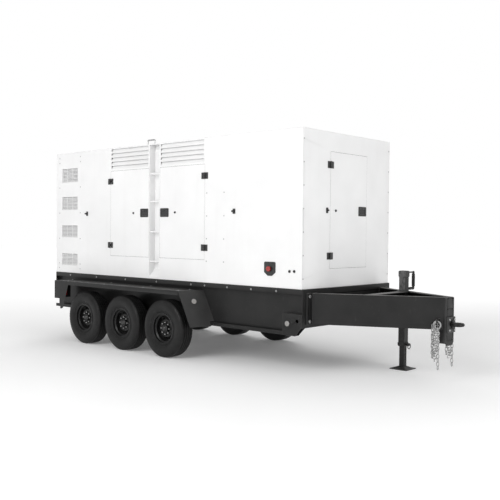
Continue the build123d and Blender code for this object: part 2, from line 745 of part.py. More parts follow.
def chain_link(x, y, top, turned):
    """One stadium-shaped link hanging down from its top height."""
    radius = LINK_WIDTH / 2 - LINK_WIRE
    straight = LINK_LENGTH / 2 - LINK_WIDTH / 2
    middle = top - LINK_LENGTH / 2
    facing = Vector(1, 0, 0) if turned else Vector(0, 1, 0)
    plane = Plane(origin=(x, y, middle), x_dir=facing.cross(Vector(0, 0, 1)), z_dir=facing)
    with BuildPart() as part:
        with BuildLine(plane):
            Line((radius, -straight), (radius, straight))
            ThreePointArc((radius, straight), (0, straight + radius), (-radius, straight))
            Line((-radius, straight), (-radius, -straight))
            ThreePointArc((-radius, -straight), (0, -straight - radius), (radius, -straight))
        with BuildSketch(Plane(origin=plane.from_local_coords((radius, -straight)), z_dir=(0, 0, 1))):
            Circle(LINK_WIRE)
        sweep()
    return part.part


def safety_chain():
    """The right-hand safety chain: a ring in the lug and two hanging strands, the longer with a hook."""
    x = FRONT + CHAIN_X
    y = -(COUPLER_WIDTH / 2 + 72)
    with BuildPart() as ring:
        with BuildSketch(Plane.XZ.offset(-y)):
            with Locations((x, CHAIN_Z - RING_RADIUS + 2)):
                Circle(RING_RADIUS + 7)
                Circle(RING_RADIUS - 7, mode=Mode.SUBTRACT)
        extrude(amount=7, both=True)
    pieces = [ring.part]
    ring_low = CHAIN_Z - 2 * RING_RADIUS + 2
    for offset, count in ((-62, 9), (12, 11)):
        drop = RING_RADIUS - sqrt(max(RING_RADIUS**2 - offset**2, 0)) if abs(offset) < RING_RADIUS else 40
        top = ring_low + drop + 7 + LINK_WIRE * 2 + 1
        for index in range(count):
            pieces.append(chain_link(x + offset, y, top - index * LINK_PITCH, index % 2 == 0))
    return Compound(children=pieces)


# ---------------------------------------------------------------- enclosure


def side_panel(stop_hole):
    """One wall: a sheet with door, louvre and vent openings and the boarding ladder.

    It stands on the right-hand side. Only that side has the stop button's hole.
    """
    face = -SIDE
    inner = face + SHEET
    low = DECK
    high = ROOF - SHEET
    with BuildPart() as part:
        block((REAR, FRONT), (face, inner), (low, high))
        for z in ((low, low + SHEET), (high - SHEET, high)):
            block((REAR + SHEET, FRONT - SHEET), (face, inner + RETURN), z)
        for x in ((REAR + SHEET, REAR + 2 * SHEET), (FRONT - 2 * SHEET, FRONT - SHEET)):
            block(x, (face, inner + RETURN), (low, high))
        for stations in (REAR_DOOR, FRONT_DOOR):
            block((back(stations[0]) - GAP, back(stations[1]) + GAP), (face - 1, inner + 1),
                  (DECK + DOOR_LOW - GAP, DECK + DOOR_HIGH + GAP), mode=Mode.SUBTRACT)
            top = LOUVRE_LOW + LOUVRE_COUNT * LOUVRE_PITCH
            block((back(stations[0]) + 16, back(stations[1]) - 16), (face - 1, inner + 1),
                  (DECK + LOUVRE_LOW, DECK + top), mode=Mode.SUBTRACT)
            louvre_bank((back(stations[0]) + 14, back(stations[1]) - 14))
        for heights in VENT_HEIGHTS:
            block((back(VENT_COLUMN[0]), back(VENT_COLUMN[1])), (face - 1, inner + 1),
                  (DECK + heights[0], DECK + heights[1]), mode=Mode.SUBTRACT)
        ladder_recess(face)
        for station in SCREW_STATIONS:
            for height in SCREW_HEIGHTS:
                rod((back(station), face - 1, DECK + height), (back(station), inner + 1, DECK + height),
                    SCREW_RADIUS, mode=Mode.SUBTRACT)
        if stop_hole:
            stop_x = back((STOP_PLATE_X[0] + STOP_PLATE_X[1]) / 2)
            rod((stop_x, face - 1, DECK + STOP_HEIGHT), (stop_x, inner + 1, DECK + STOP_HEIGHT),
                STOP_STEM_RADIUS + RUNNING_CLEARANCE, mode=Mode.SUBTRACT)
    return part.part


def louvre_bank(x):
    """Slanted blades across one opening over a door."""
    depth = 26
    for index in range(LOUVRE_COUNT):
        low = DECK + LOUVRE_LOW + index * LOUVRE_PITCH
        with BuildSketch(Plane.YZ.offset(x[0])) as outline:
            with BuildLine():
                Polyline(
                    (-SIDE, low),
                    (-SIDE, low + 10),
                    (-SIDE + depth, low + LOUVRE_PITCH + 4),
                    (-SIDE + depth, low + LOUVRE_PITCH),
                    (-SIDE + 4, low),
                    close=True,
                )
            make_face()
        extrude(outline.sketch, amount=x[1] - x[0])


def ladder_recess(face):
    """The recess between the doors, with a sloping sill and four rungs."""
    x = (back(LADDER[0]), back(LADDER[1]))
    z = (DECK + LADDER_LOW, DECK + LADDER_HIGH)
    rear_wall = face + LADDER_DEPTH
    block((x[0] - SHEET, x[1] + SHEET), (face, rear_wall + SHEET), (z[0] - SHEET, z[1] + SHEET))
    block(x, (face - 1, rear_wall), z, mode=Mode.SUBTRACT)
    with BuildSketch(Plane.YZ.offset(x[0])) as outline:
        with BuildLine():
            Polyline((face, z[0]), (rear_wall, z[0]), (rear_wall, z[0] + 120), close=True)
        make_face()
    extrude(outline.sketch, amount=x[1] - x[0])
    for height in RUNG_HEIGHTS:
        rod((x[0] - 1, face + 32, DECK + height), (x[1] + 1, face + 32, DECK + height), 13)


SCREW_STATIONS = (5175.0, 4590.0)
SCREW_HEIGHTS = (72.0, 149.0, 564.0, 983.0, 1402.0, 1811.0, 1893.0)
SCREW_RADIUS = 5.0
ACCESS_STATIONS = (1658.0, 1330.0)
ACCESS_HEIGHTS = (291.0, 598.0, 908.0, 1220.0)
END_SCREW_Y = 953.0
END_SCREW_HEIGHTS = (126.0, 413.0, 699.0, 985.0, 1270.0, 1554.0, 1838.0)
STOP_PLATE_X = (604.0, 418.0)
STOP_HEIGHT = 234.0
STOP_STEM_RADIUS = 11.0


def front_panel():
    """The front wall, with the control door's opening."""
    with BuildPart() as part:
        block((FRONT - SHEET, FRONT), (-SIDE + SHEET, SIDE - SHEET), (DECK, ROOF - SHEET))
        block((FRONT - 10, FRONT + 10), (CONTROL_DOOR_Y[0] - GAP, CONTROL_DOOR_Y[1] + GAP),
              (DECK + CONTROL_DOOR_Z[0] - GAP, DECK + CONTROL_DOOR_Z[1] + GAP), mode=Mode.SUBTRACT)
        end_screw_holes(FRONT - SHEET, FRONT)
    return part.part


def end_screw_holes(x_low, x_high):
    """The clearance holes for the screws down both edges of an end wall."""
    for y in (-END_SCREW_Y, END_SCREW_Y):
        for height in END_SCREW_HEIGHTS:
            rod((x_low - 1, y, DECK + height), (x_high + 1, y, DECK + height), SCREW_RADIUS,
                mode=Mode.SUBTRACT)


RADIATOR_Z = (260.0, 1500.0)
RADIATOR_HALF = 700.0


def rear_panel():
    """The rear wall, with the louvred radiator outlet."""
    x = (REAR, REAR + SHEET)
    with BuildPart() as part:
        block(x, (-SIDE + SHEET, SIDE - SHEET), (DECK, ROOF - SHEET))
        block((REAR - 1, REAR + 10), (-RADIATOR_HALF, RADIATOR_HALF),
              (DECK + RADIATOR_Z[0], DECK + RADIATOR_Z[1]), mode=Mode.SUBTRACT)
        count = 15
        pitch = (RADIATOR_Z[1] - RADIATOR_Z[0]) / count
        for index in range(count):
            low = DECK + RADIATOR_Z[0] + index * pitch
            with BuildSketch(Plane.XZ.offset(-RADIATOR_HALF - 2)):
                with BuildLine():
                    Polyline((REAR, low), (REAR, low + 8), (REAR + 34, low + pitch),
                             (REAR + 34, low + pitch - 4),
                             (REAR + 4, low), close=True)
                make_face()
            extrude(amount=2 * RADIATOR_HALF + 4)
        end_screw_holes(*x)
    return part.part


EXHAUST = (-1250.0, 0.0)
EXHAUST_RADIUS = 76.0


def roof_panel():
    """The roof sheet with turned-down stiffening ribs and the exhaust and lifting-eye openings."""
    with BuildPart() as part:
        block((REAR, FRONT), (-SIDE, SIDE), (ROOF - SHEET, ROOF))
        for station in (900, 1800, 2920, 3700, 4500):
            block((back(station), back(station) + 4), (-SIDE + 60, SIDE - 60), (ROOF - 46, ROOF - SHEET))
        rod((EXHAUST[0], EXHAUST[1], ROOF - 60), (EXHAUST[0], EXHAUST[1], ROOF + 1), EXHAUST_RADIUS + 8,
            mode=Mode.SUBTRACT)
        for y in (-BAIL_Y, BAIL_Y):
            for x in BAIL_X:
                rod((back(x), y, ROOF - 4), (back(x), y, ROOF + 1), BAIL_WIRE, mode=Mode.SUBTRACT)
    return part.part


BAIL_X = (2945.0, 2783.0)
BAIL_Y = 940.0
BAIL_WIRE = 11.0
BAIL_TOP = 72.0


def grab_bail():
    """The right-hand grab handle: a bent bar that stands through the roof beside the ladder."""
    bend = 22
    x = (back(BAIL_X[0]), back(BAIL_X[1]))
    low = ROOF - SHEET
    top = ROOF + BAIL_TOP - BAIL_WIRE
    with BuildPart() as part:
        with BuildLine(Plane.XZ.offset(BAIL_Y)):
            Line((x[0], low), (x[0], top - bend))
            ThreePointArc((x[0], top - bend),
                          (x[0] + bend * (1 - cos(pi / 4)), top - bend * (1 - sin(pi / 4))),
                          (x[0] + bend, top))
            Line((x[0] + bend, top), (x[1] - bend, top))
            ThreePointArc((x[1] - bend, top),
                          (x[1] - bend * (1 - cos(pi / 4)), top - bend * (1 - sin(pi / 4))),
                          (x[1], top - bend))
            Line((x[1], top - bend), (x[1], low))
        with BuildSketch(Plane(origin=(x[0], -BAIL_Y, low), z_dir=(0, 0, 1))):
            Circle(BAIL_WIRE)
        sweep()
    return part.part


def vent_grilles():
    """Four slatted inserts behind the openings at the rear of the right-hand wall."""
    face = -SIDE + SHEET
    grilles = []
    for heights in VENT_HEIGHTS:
        x = (back(VENT_COLUMN[0]) - 8, back(VENT_COLUMN[1]) + 8)
        z = (DECK + heights[0] - 8, DECK + heights[1] + 8)
        with BuildPart() as grille:
            block(x, (face, face + 24), z)
            block((x[0] + 8, x[1] - 8), (face - 1, face + 25), (z[0] + 8, z[1] - 8), mode=Mode.SUBTRACT)
            count = int((z[1] - z[0] - 16) / SLAT_PITCH)
            pitch = (z[1] - z[0] - 16) / count
            for index in range(count):
                low = z[0] + 8 + index * pitch
                block((x[0] + 7, x[1] - 7), (face + 4, face + 20), (low + 1, low + 4))
            third = (x[1] - x[0]) / 3
            for index in (1, 2):
                bar = x[0] + index * third
                block((bar - 5, bar + 5), (face, face + 4), (z[0] + 7, z[1] - 7))
        grilles.append(grille.part)
    return Compound(children=grilles)


# ---------------------------------------------------------------- doors, hinges and latches


def door_leaf(width, height, hinge_heights):
    """A door with its hinge edge at x = 0 and its outside face at y = 0, facing -Y.

    The latch sits near the free edge, half-way up; its dish is a pocket in the sheet.
    """
    hinge_out = -HINGE_AXIS_OUT
    latch_x = width - 12 - LATCH_SIZE[0] / 2
    latch_z = height / 2
    half_x = PADDLE_SIZE[0] / 2
    half_z = PADDLE_SIZE[1] / 2
    with BuildPart() as part:
        block((0, width), (0, DOOR_DEPTH), (0, height))
        block((SHEET, width - SHEET), (SHEET, DOOR_DEPTH + 1), (SHEET, height - SHEET), mode=Mode.SUBTRACT)
        block((latch_x - LATCH_SIZE[0] / 2, latch_x + LATCH_SIZE[0] / 2), (-LATCH_PROUD, SHEET),
              (latch_z - LATCH_SIZE[1] / 2, latch_z + LATCH_SIZE[1] / 2))
        edge = part.edges().filter_by(Axis.Y).filter_by_position(Axis.Y, -LATCH_PROUD - 1, -1)
        fillet(edge, 14)
        block((latch_x - half_x - 5, latch_x + half_x + 5), (0, 23),
              (latch_z - half_z - 5, latch_z + half_z + 5))
        block((latch_x - half_x - 2, latch_x + half_x + 2), (-LATCH_PROUD - 1, 20),
              (latch_z - half_z - 2, latch_z + half_z + 2), mode=Mode.SUBTRACT)
        pivot_z = latch_z + half_z - 7
        rod((latch_x - half_x - 5, 4, pivot_z), (latch_x + half_x + 5, 4, pivot_z),
            PADDLE_PIVOT_RADIUS + RUNNING_CLEARANCE, mode=Mode.SUBTRACT)
        for middle in hinge_heights:
            third = HINGE_HEIGHT / 3
            block((-1, 62), (-4, 0.5), (middle - HINGE_HEIGHT / 2, middle + HINGE_HEIGHT / 2))
            block((-1, 12), (-4.1, 0.5), (middle - HINGE_HEIGHT, middle - third / 2 - 0.5),
                  mode=Mode.SUBTRACT)
            block((-1, 12), (-4.1, 0.5), (middle + third / 2 + 0.5, middle + HINGE_HEIGHT),
                  mode=Mode.SUBTRACT)
            block((-1, 12), (0, 0.5), (middle - HINGE_HEIGHT, middle + HINGE_HEIGHT))
            hinge_x = -GAP / 2
            low = middle - third / 2 + 0.5
            high = middle + third / 2 - 0.5
            block((hinge_x, hinge_x + 8), (hinge_out, -3), (low, high))
            rod((hinge_x, hinge_out, low), (hinge_x, hinge_out, high), 10)
            rod((hinge_x, hinge_out, middle - third), (hinge_x, hinge_out, middle + third),
                HINGE_PIN_RADIUS + RUNNING_CLEARANCE, mode=Mode.SUBTRACT)
    return part.part


def hinge_half(middle):
    """The fixed half of one hinge, for a door placed as in door_leaf: leaf, two knuckles and the pin."""
    hinge_out = -HINGE_AXIS_OUT
    hinge_x = -GAP / 2
    third = HINGE_HEIGHT / 3
    with BuildPart() as part:
        block((-64, -GAP - 1), (-4, 0), (middle - HINGE_HEIGHT / 2, middle + HINGE_HEIGHT / 2))
        for z in ((middle - HINGE_HEIGHT / 2, middle - third / 2 - 0.5),
                  (middle + third / 2 + 0.5, middle + HINGE_HEIGHT / 2)):
            block((hinge_x - 10, hinge_x), (hinge_out, -3), z)
            rod((hinge_x, hinge_out, z[0]), (hinge_x, hinge_out, z[1]), 10)
        rod((hinge_x, hinge_out, middle - HINGE_HEIGHT / 2 - 2),
            (hinge_x, hinge_out, middle + HINGE_HEIGHT / 2 + 2),
            HINGE_PIN_RADIUS)
    return part.part


def latch_paddle(width, height):
    """The pull paddle of the door's latch, placed as in door_leaf, with its two pivot stubs."""
    latch_x = width - 12 - LATCH_SIZE[0] / 2
    half_x = PADDLE_SIZE[0] / 2
    half_z = PADDLE_SIZE[1] / 2
    low = height / 2 - half_z
    pivot_z = height / 2 + half_z - 7
    with BuildPart() as part:
        block((latch_x - half_x, latch_x + half_x), (-3, 2), (low, pivot_z))
        block((latch_x - half_x, latch_x + half_x), (2, 10), (low, low + 4))
        rod((latch_x - half_x, 4, pivot_z), (latch_x + half_x, 4, pivot_z), 6)
        rod((latch_x - half_x - 4.5, 4, pivot_z), (latch_x + half_x + 4.5, 4, pivot_z), PADDLE_PIVOT_RADIUS)
    return part.part


def flipped(shape):
    """The same door piece with its hinge edge on the other side."""
    return mirror(shape, about=Plane.YZ)


def placed_doors():
    """Every door: its name, width, height, hinge heights and the move from door_leaf's place."""
    side_height = DOOR_HIGH - DOOR_LOW
    side_low = DECK + DOOR_LOW
    control_width = CONTROL_DOOR_Y[1] - CONTROL_DOOR_Y[0]
    control_height = CONTROL_DOOR_Z[1] - CONTROL_DOOR_Z[0]
    turn = Location((FRONT, CONTROL_DOOR_Y[0], DECK + CONTROL_DOOR_Z[0]), (0, 0, 90))
    rear = Location((back(REAR_DOOR[0]), -SIDE, side_low))
    front = Location((back(FRONT_DOOR[1]), -SIDE, side_low))
    return (
        ("rear_door", REAR_DOOR[0] - REAR_DOOR[1], side_height, HINGE_HEIGHTS, rear, False),
        ("front_door", FRONT_DOOR[0] - FRONT_DOOR[1], side_height, HINGE_HEIGHTS, front, True),
        ("control_door", control_width, control_height, (159.0, 1315.0), turn, False),
    )


HOLD_BACK_STATIONS = (4399.0, 1143.0)
HOLD_BACK_HEIGHT = 966.0
PORT_PLACES = ((191.0, 213.0), (116.0, 216.0))


def side_fittings():
    """One wall's hold-back bumpers and two round port plugs, placed on the right-hand side."""
    face = -SIDE
    pieces = []
    for station in HOLD_BACK_STATIONS:
        x = back(station)
        with BuildPart() as bumper:
            z = DECK + HOLD_BACK_HEIGHT
            block((x - 22, x + 22), (face - 6, face), (z - 34, z + 34))
            rod((x, face - 5, z), (x, face - 44, z), 13)
        pieces.append(bumper.part)
    for station, height in PORT_PLACES:
        with BuildPart() as port:
            rod((back(station), face, DECK + height), (back(station), face - 9, DECK + height), 17)
            hexagon((back(station), face - 9, DECK + height), (back(station), face - 15, DECK + height), 18)
        pieces.append(port.part)
    return pieces


def stop_plate():
    """The shouldered plate and collar round the stop button, on the right-hand wall."""
    face = -SIDE
    x = (back(STOP_PLATE_X[0]), back(STOP_PLATE_X[1]))
    middle = (x[0] + x[1]) / 2
    with BuildPart() as plate:
        with BuildSketch(Plane.XZ.offset(SIDE)) as outline:
            with BuildLine():
                Polyline((x[0], DECK + 322), (x[1], DECK + 322), (x[1], DECK + 190),
                         (middle + 34, DECK + 145), (middle - 34, DECK + 145), (x[0], DECK + 190),
                         close=True)
            make_face()
            fillet(outline.vertices(), 18)
        extrude(amount=7)
        rod((middle, face - 6, DECK + STOP_HEIGHT), (middle, face - 16, DECK + STOP_HEIGHT), 40)
        rod((middle, face + 1, DECK + STOP_HEIGHT), (middle, face - 17, DECK + STOP_HEIGHT),
            STOP_STEM_RADIUS + RUNNING_CLEARANCE, mode=Mode.SUBTRACT)
    return plate.part


def body_fittings():
    """All the small black fittings fixed to the enclosure, with the fixed half of every hinge."""
    pieces = side_fittings()
    pieces.append(stop_plate())
    for name, _, _, hinge_heights, place, flip in placed_doors():
        for middle in hinge_heights:
            half = hinge_half(middle)
            half = flipped(half) if flip else half
            half = half.moved(place)
            if name == "control_door":
                pieces.append(half)
            else:
                pieces.extend([half, mirror(half, about=Plane.XZ)])
    y = CONTROL_DOOR_Y[0] - 71
    with BuildPart() as bumper:
        block((FRONT, FRONT + 6), (y - 20, y + 20), (DECK + 943, DECK + 1011))
        rod((FRONT + 5, y, DECK + 977), (FRONT + 30, y, DECK + 977), 12)
    pieces.append(bumper.part)
    for mirrored in side_fittings():
        pieces.append(mirror(mirrored, about=Plane.XZ))
    solids = [solid for piece in pieces for solid in piece.solids()]
    return Compound(children=solids)


def stop_button():
    """The mushroom stop button in its plate on the right-hand wall."""
    x = back((STOP_PLATE_X[0] + STOP_PLATE_X[1]) / 2)
    z = DECK + STOP_HEIGHT
    with BuildPart() as part:
        rod((x, -SIDE - 26, z), (x, -SIDE + 30, z), STOP_STEM_RADIUS)
        rod((x, -SIDE - 26, z), (x, -SIDE - 44, z), 34)
        fillet(part.edges().filter_by(GeomType.CIRCLE).sort_by(Axis.Y)[0], 8)
    return part.part


# ---------------------------------------------------------------- inside the enclosure

SHAFT_Z = DECK + 520.0
SHAFT_RADIUS = 55.0
ENGINE_X = (-1500.0, 200.0)
ALTERNATOR_X = (420.0, 1120.0)
STATOR_RADIUS = 360.0
ROTOR_RADIUS = 230.0
FAN_X = -1680.0
FAN_RADIUS = 480.0


def engine_block():
    """The diesel's cylinder block with heads, sump, manifolds and mounting feet, bored for the crankshaft."""
    with BuildPart() as part:
        block(ENGINE_X, (-150, 150), (SHAFT_Z - 110, SHAFT_Z + 330))
        block((ENGINE_X[0] + 20, ENGINE_X[1] - 20), (-130, 130), (SHAFT_Z + 330, SHAFT_Z + 500))
        fillet(part.edges().filter_by(Axis.X).group_by(Axis.Z)[-1], 30)
        block((ENGINE_X[0] + 60, ENGINE_X[1] - 160), (-160, 160), (SHAFT_Z - 330, SHAFT_Z - 110))
        for index in range(6):
            x = ENGINE_X[0] + 150 + index * 250
            rod((x, 0, SHAFT_Z + 90), (x, 0, SHAFT_Z + 500), 82, mode=Mode.SUBTRACT)
            rod((x, 120, SHAFT_Z + 430), (x, 260, SHAFT_Z + 430), 34)
            rod((x, -120, SHAFT_Z + 430), (x, -240, SHAFT_Z + 430), 34)
        rod((ENGINE_X[0] + 90, 260, SHAFT_Z + 430), (ENGINE_X[1] - 90, 260, SHAFT_Z + 430), 55)
        rod((ENGINE_X[0] + 90, -250, SHAFT_Z + 430), (ENGINE_X[1] - 90, -250, SHAFT_Z + 430), 60)
        block((ENGINE_X[0] + 90, ENGINE_X[1] - 190), (-140, 140), (SHAFT_Z - 300, SHAFT_Z - 130),
              mode=Mode.SUBTRACT)
        for x in (ENGINE_X[0] + 220, ENGINE_X[1] - 260):
            for side in (-1, 1):
                block((x - 60, x + 60), sorted((side * 140, side * 400)), (SHAFT_Z - 130, SHAFT_Z - 105))
                block((x - 50, x + 50), sorted((side * 340, side * 400)), (DECK, SHAFT_Z - 105))
        rod((ENGINE_X[0] - 1, 0, SHAFT_Z), (ENGINE_X[1] + 1, 0, SHAFT_Z), SHAFT_RADIUS + RUNNING_CLEARANCE,
            mode=Mode.SUBTRACT)
    return part.part


def alternator():
    """The alternator's housing: a ribbed round shell with end bells, feet and a terminal box."""
    with BuildPart() as part:
        rod((ALTERNATOR_X[0], 0, SHAFT_Z), (ALTERNATOR_X[1], 0, SHAFT_Z), STATOR_RADIUS)
        for side in (-1, 1):
            block((ALTERNATOR_X[0] + 40, ALTERNATOR_X[1] - 40), sorted((side * 230, side * 330)),
                  (DECK, SHAFT_Z - 200))
        block((ALTERNATOR_X[0] + 60, ALTERNATOR_X[1] - 60), (-280, 280), (SHAFT_Z + 330, SHAFT_Z + 620))
        block((ALTERNATOR_X[0] + 66, ALTERNATOR_X[1] - 66), (-274, 274), (SHAFT_Z + 364, SHAFT_Z + 614),
              mode=Mode.SUBTRACT)
        rod((ALTERNATOR_X[0] + 40, 0, SHAFT_Z), (ALTERNATOR_X[1] - 40, 0, SHAFT_Z), ROTOR_RADIUS + 6,
            mode=Mode.SUBTRACT)
        for x in (ALTERNATOR_X[0], ALTERNATOR_X[1] - 40):
            rod((x + 8, 0, SHAFT_Z), (x + 32, 0, SHAFT_Z), 330, mode=Mode.SUBTRACT)
            rod((x - 1, 0, SHAFT_Z), (x + 41, 0, SHAFT_Z), SHAFT_RADIUS + RUNNING_CLEARANCE,
                mode=Mode.SUBTRACT)
    return part.part


def fan_and_crankshaft():
    """The turning line: crankshaft with flywheel and coupling, alternator rotor, and the cooling fan."""
    with BuildPart() as shaft:
        rod((FAN_X - 30, 0, SHAFT_Z), (ALTERNATOR_X[1] + 20, 0, SHAFT_Z), SHAFT_RADIUS)
        rod((ENGINE_X[1] + 40, 0, SHAFT_Z), (ENGINE_X[1] + 110, 0, SHAFT_Z), 240)
        rod((ENGINE_X[0] - 90, 0, SHAFT_Z), (ENGINE_X[0] - 40, 0, SHAFT_Z), 120)
    with BuildPart() as rotor:
        rod((ALTERNATOR_X[0] + 80, 0, SHAFT_Z), (ALTERNATOR_X[1] - 80, 0, SHAFT_Z), ROTOR_RADIUS)
        rod((ALTERNATOR_X[0], 0, SHAFT_Z), (ALTERNATOR_X[1], 0, SHAFT_Z), SHAFT_RADIUS, mode=Mode.SUBTRACT)
    with BuildPart() as fan:
        rod((FAN_X - 20, 0, SHAFT_Z), (FAN_X + 60, 0, SHAFT_Z), 120)
        blade_count = 7
        for index in range(blade_count):
            angle = 360 / blade_count * index
            turn = Plane(origin=(FAN_X + 20, 0, SHAFT_Z), x_dir=(0, cos(radians(angle)), sin(radians(angle))),
                         z_dir=(1, 0, 0))
            tilted = turn * Location((0, 0, 0), (32, 0, 0))
            with BuildSketch(Plane(tilted)):
                with Locations(((FAN_RADIUS + 100) / 2, 0)):
                    Rectangle(FAN_RADIUS - 100, 130)
            extrude(amount=4, both=True)
        rod((FAN_X - 60, 0, SHAFT_Z), (FAN_X + 100, 0, SHAFT_Z), SHAFT_RADIUS, mode=Mode.SUBTRACT)
    return Compound(children=[shaft.part, rotor.part, fan.part])


RADIATOR_X = (-3380.0, -3240.0)


def radiator():
    """The radiator behind the rear outlet: tanks, side frames and a finned core, with a fan shroud."""
    z = (DECK + 200, DECK + 1560)
    half = 780
    with BuildPart() as part:
        block(RADIATOR_X, (-half, half), z)
        block((RADIATOR_X[0] - 1, RADIATOR_X[1] + 1), (-half + 60, half - 60), (z[0] + 120, z[1] - 120),
              mode=Mode.SUBTRACT)
        block((RADIATOR_X[0] + 10, RADIATOR_X[1] - 10), (-half + 50, half - 50), (z[0] + 10, z[0] + 110),
              mode=Mode.SUBTRACT)
        block((RADIATOR_X[0] + 10, RADIATOR_X[1] - 10), (-half + 50, half - 50), (z[1] - 110, z[1] - 10),
              mode=Mode.SUBTRACT)
        block((RADIATOR_X[0] + 50, RADIATOR_X[1] - 50), (-half + 50, half - 50), (z[0] + 110, z[1] - 110))
        for y in (-half + 20, half - 100):
            block((RADIATOR_X[0] + 20, RADIATOR_X[1] - 20), (y, y + 80), (DECK, z[0]))
    return part.part


def muffler():
    """The silencer under the roof with its inlet and the outlet pipe through the roof opening."""
    z = ROOF - 330
    with BuildPart() as part:
        rod((-1150, 0, z), (-150, 0, z), 170)
        rod((-1140, 0, z), (-160, 0, z), 160, mode=Mode.SUBTRACT)
        rod((EXHAUST[0], EXHAUST[1], z), (EXHAUST[0], EXHAUST[1], ROOF - 6), EXHAUST_RADIUS)
        rod((EXHAUST[0] - 60, 0, z), (-1148, 0, z), EXHAUST_RADIUS)
        rod((EXHAUST[0], EXHAUST[1], z - 1), (EXHAUST[0], EXHAUST[1], ROOF - 5), EXHAUST_RADIUS - 5,
            mode=Mode.SUBTRACT)
        for x in (-950, -350):
            for side in (-1, 1):
                y = sorted((side * 166, side * 172))
                block((x - 25, x + 25), y, (z, ROOF - 46))
    return part.part


def batteries():
    """Two starting batteries on the deck inside the rear right-hand door."""
    cases = []
    for x in (-1600, -1030):
        with BuildPart() as case:
            block((x, x + 510), (-840, -570), (DECK, DECK + 215))
            fillet(case.edges().filter_by(Axis.Z), 8)
            for y in (-810, -600):
                rod((x + 60, y, DECK + 214), (x + 60, y, DECK + 235), 9)
        cases.append(case.part)
    return Compound(children=cases)


CONTROL_X = (1560.0, 1700.0)


def control_panel():
    """The control cabinet behind the front door: box, screen, keys, breakers and stand."""
    z = (DECK + 620, DECK + 1500)
    with BuildPart() as part:
        block(CONTROL_X, (-350, 350), z)
        block((CONTROL_X[0] + 4, CONTROL_X[1] - 4), (-346, 346), (z[0] + 4, z[1] - 4), mode=Mode.SUBTRACT)
        for y in (-330, 270):
            block((CONTROL_X[0] + 30, CONTROL_X[0] + 90), (y, y + 60), (DECK, z[0]))
        block((CONTROL_X[1] - 2, CONTROL_X[1] + 14), (-140, 140), (z[1] - 330, z[1] - 130))
        for index in range(6):
            y = -125 + index * 50
            block((CONTROL_X[1] - 2, CONTROL_X[1] + 10), (y - 15, y + 15), (z[1] - 390, z[1] - 360))
        for index in range(4):
            y = -240 + index * 160
            block((CONTROL_X[1] - 2, CONTROL_X[1] + 34), (y - 55, y + 55), (z[0] + 90, z[0] + 260))
    return part.part


def fuel_tank():
    """The welded base tank between the side beams, with a filler neck."""
    x = (back(1700), back(330))
    y = (-860, 860)
    z = (FRAME_BOTTOM + 30, DECK - 128)
    wall = 4
    with BuildPart() as part:
        block(x, y, z)
        fillet(part.edges().filter_by(Axis.X), 40)
        block((x[0] + wall, x[1] - wall), (y[0] + wall, y[1] - wall), (z[0] + wall, z[1] - wall),
              mode=Mode.SUBTRACT)
        for strap in (x[0] + 250, x[1] - 250):
            block((strap - 30, strap + 30), (-FRAME_WEB + 1, y[0] + 6), (z[0] + 150, z[0] + 250))
            block((strap - 30, strap + 30), (y[1] - 6, FRAME_WEB - 1), (z[0] + 150, z[0] + 250))
    return part.part


# ---------------------------------------------------------------- lamps, reflectors and fasteners


SPLASH_REFLECTOR_RADIUS = 35.0


def lamps_and_reflectors():
    """Round reflectors on the splash plates and tie-down corners, and square lamps at the rear."""
    outer = OVERALL_HALF_WIDTH
    pieces = []
    y_mid = outer - 170
    slope = (FENDER_FRONT - 1636) / (FENDER_TOP - SPLASH_LOW)
    sweep_back = (FENDER_FRONT - FENDER_INNER_FRONT) / (outer - FRAME_WEB - 8)
    height = 800
    x = back(FENDER_FRONT) + slope * (FENDER_TOP - height) + sweep_back * (outer - y_mid)
    normal = Vector(1, -sweep_back, slope).normalized()
    start = Vector(x, -y_mid, height) + normal * 3.2
    with BuildPart() as disc:
        rod(tuple(start), tuple(start + normal * 9), SPLASH_REFLECTOR_RADIUS)
    pieces.append(disc.part)
    face = FRAME_FACE + TIE_DOWN_PLATE
    corner_x = FRONT + FRAME_NOSE - TIE_DOWN_DISC[0]
    with BuildPart() as plug:
        rod((corner_x, -face, TIE_DOWN_DISC[1]), (corner_x, -face - 8, TIE_DOWN_DISC[1]), 33)
    pieces.append(plug.part)
    with BuildPart() as lamp:
        lamp_x = back(FENDER_REAR)
        block((lamp_x + 2 * SHEET, lamp_x + 60), (-outer + 40, -outer + 200), (700, 860))
        block((lamp_x + SHEET, lamp_x + 2 * SHEET), (-outer + 30, -outer + 210), (690, 870))
    pieces.append(lamp.part)
    solids = []
    for piece in pieces:
        solids.extend(piece.solids())
        solids.extend(mirror(piece, about=Plane.XZ).solids())
    return Compound(children=solids)


def screw(place, direction, radius, head, head_height, length):
    """A dome-headed screw: its head stands out along direction and its shank goes the other way."""
    start = Vector(*place)
    out = Vector(*direction)
    with BuildPart() as part:
        rod(tuple(start - out * length), tuple(start + out * 0.5), radius)
        rod(tuple(start), tuple(start + out * head_height), head)
        chamfer(part.faces().sort_by(Axis(tuple(start), direction))[-1].edges(), head_height * 0.4)
    return part.part


SILL_BOLT_STATIONS = (4841.0, 4127.0, 3400.0, 2678.0, 1947.0, 1675.0, 1249.0, 819.0, 394.0)
SILL_BOLT_Z = DECK - 40.0


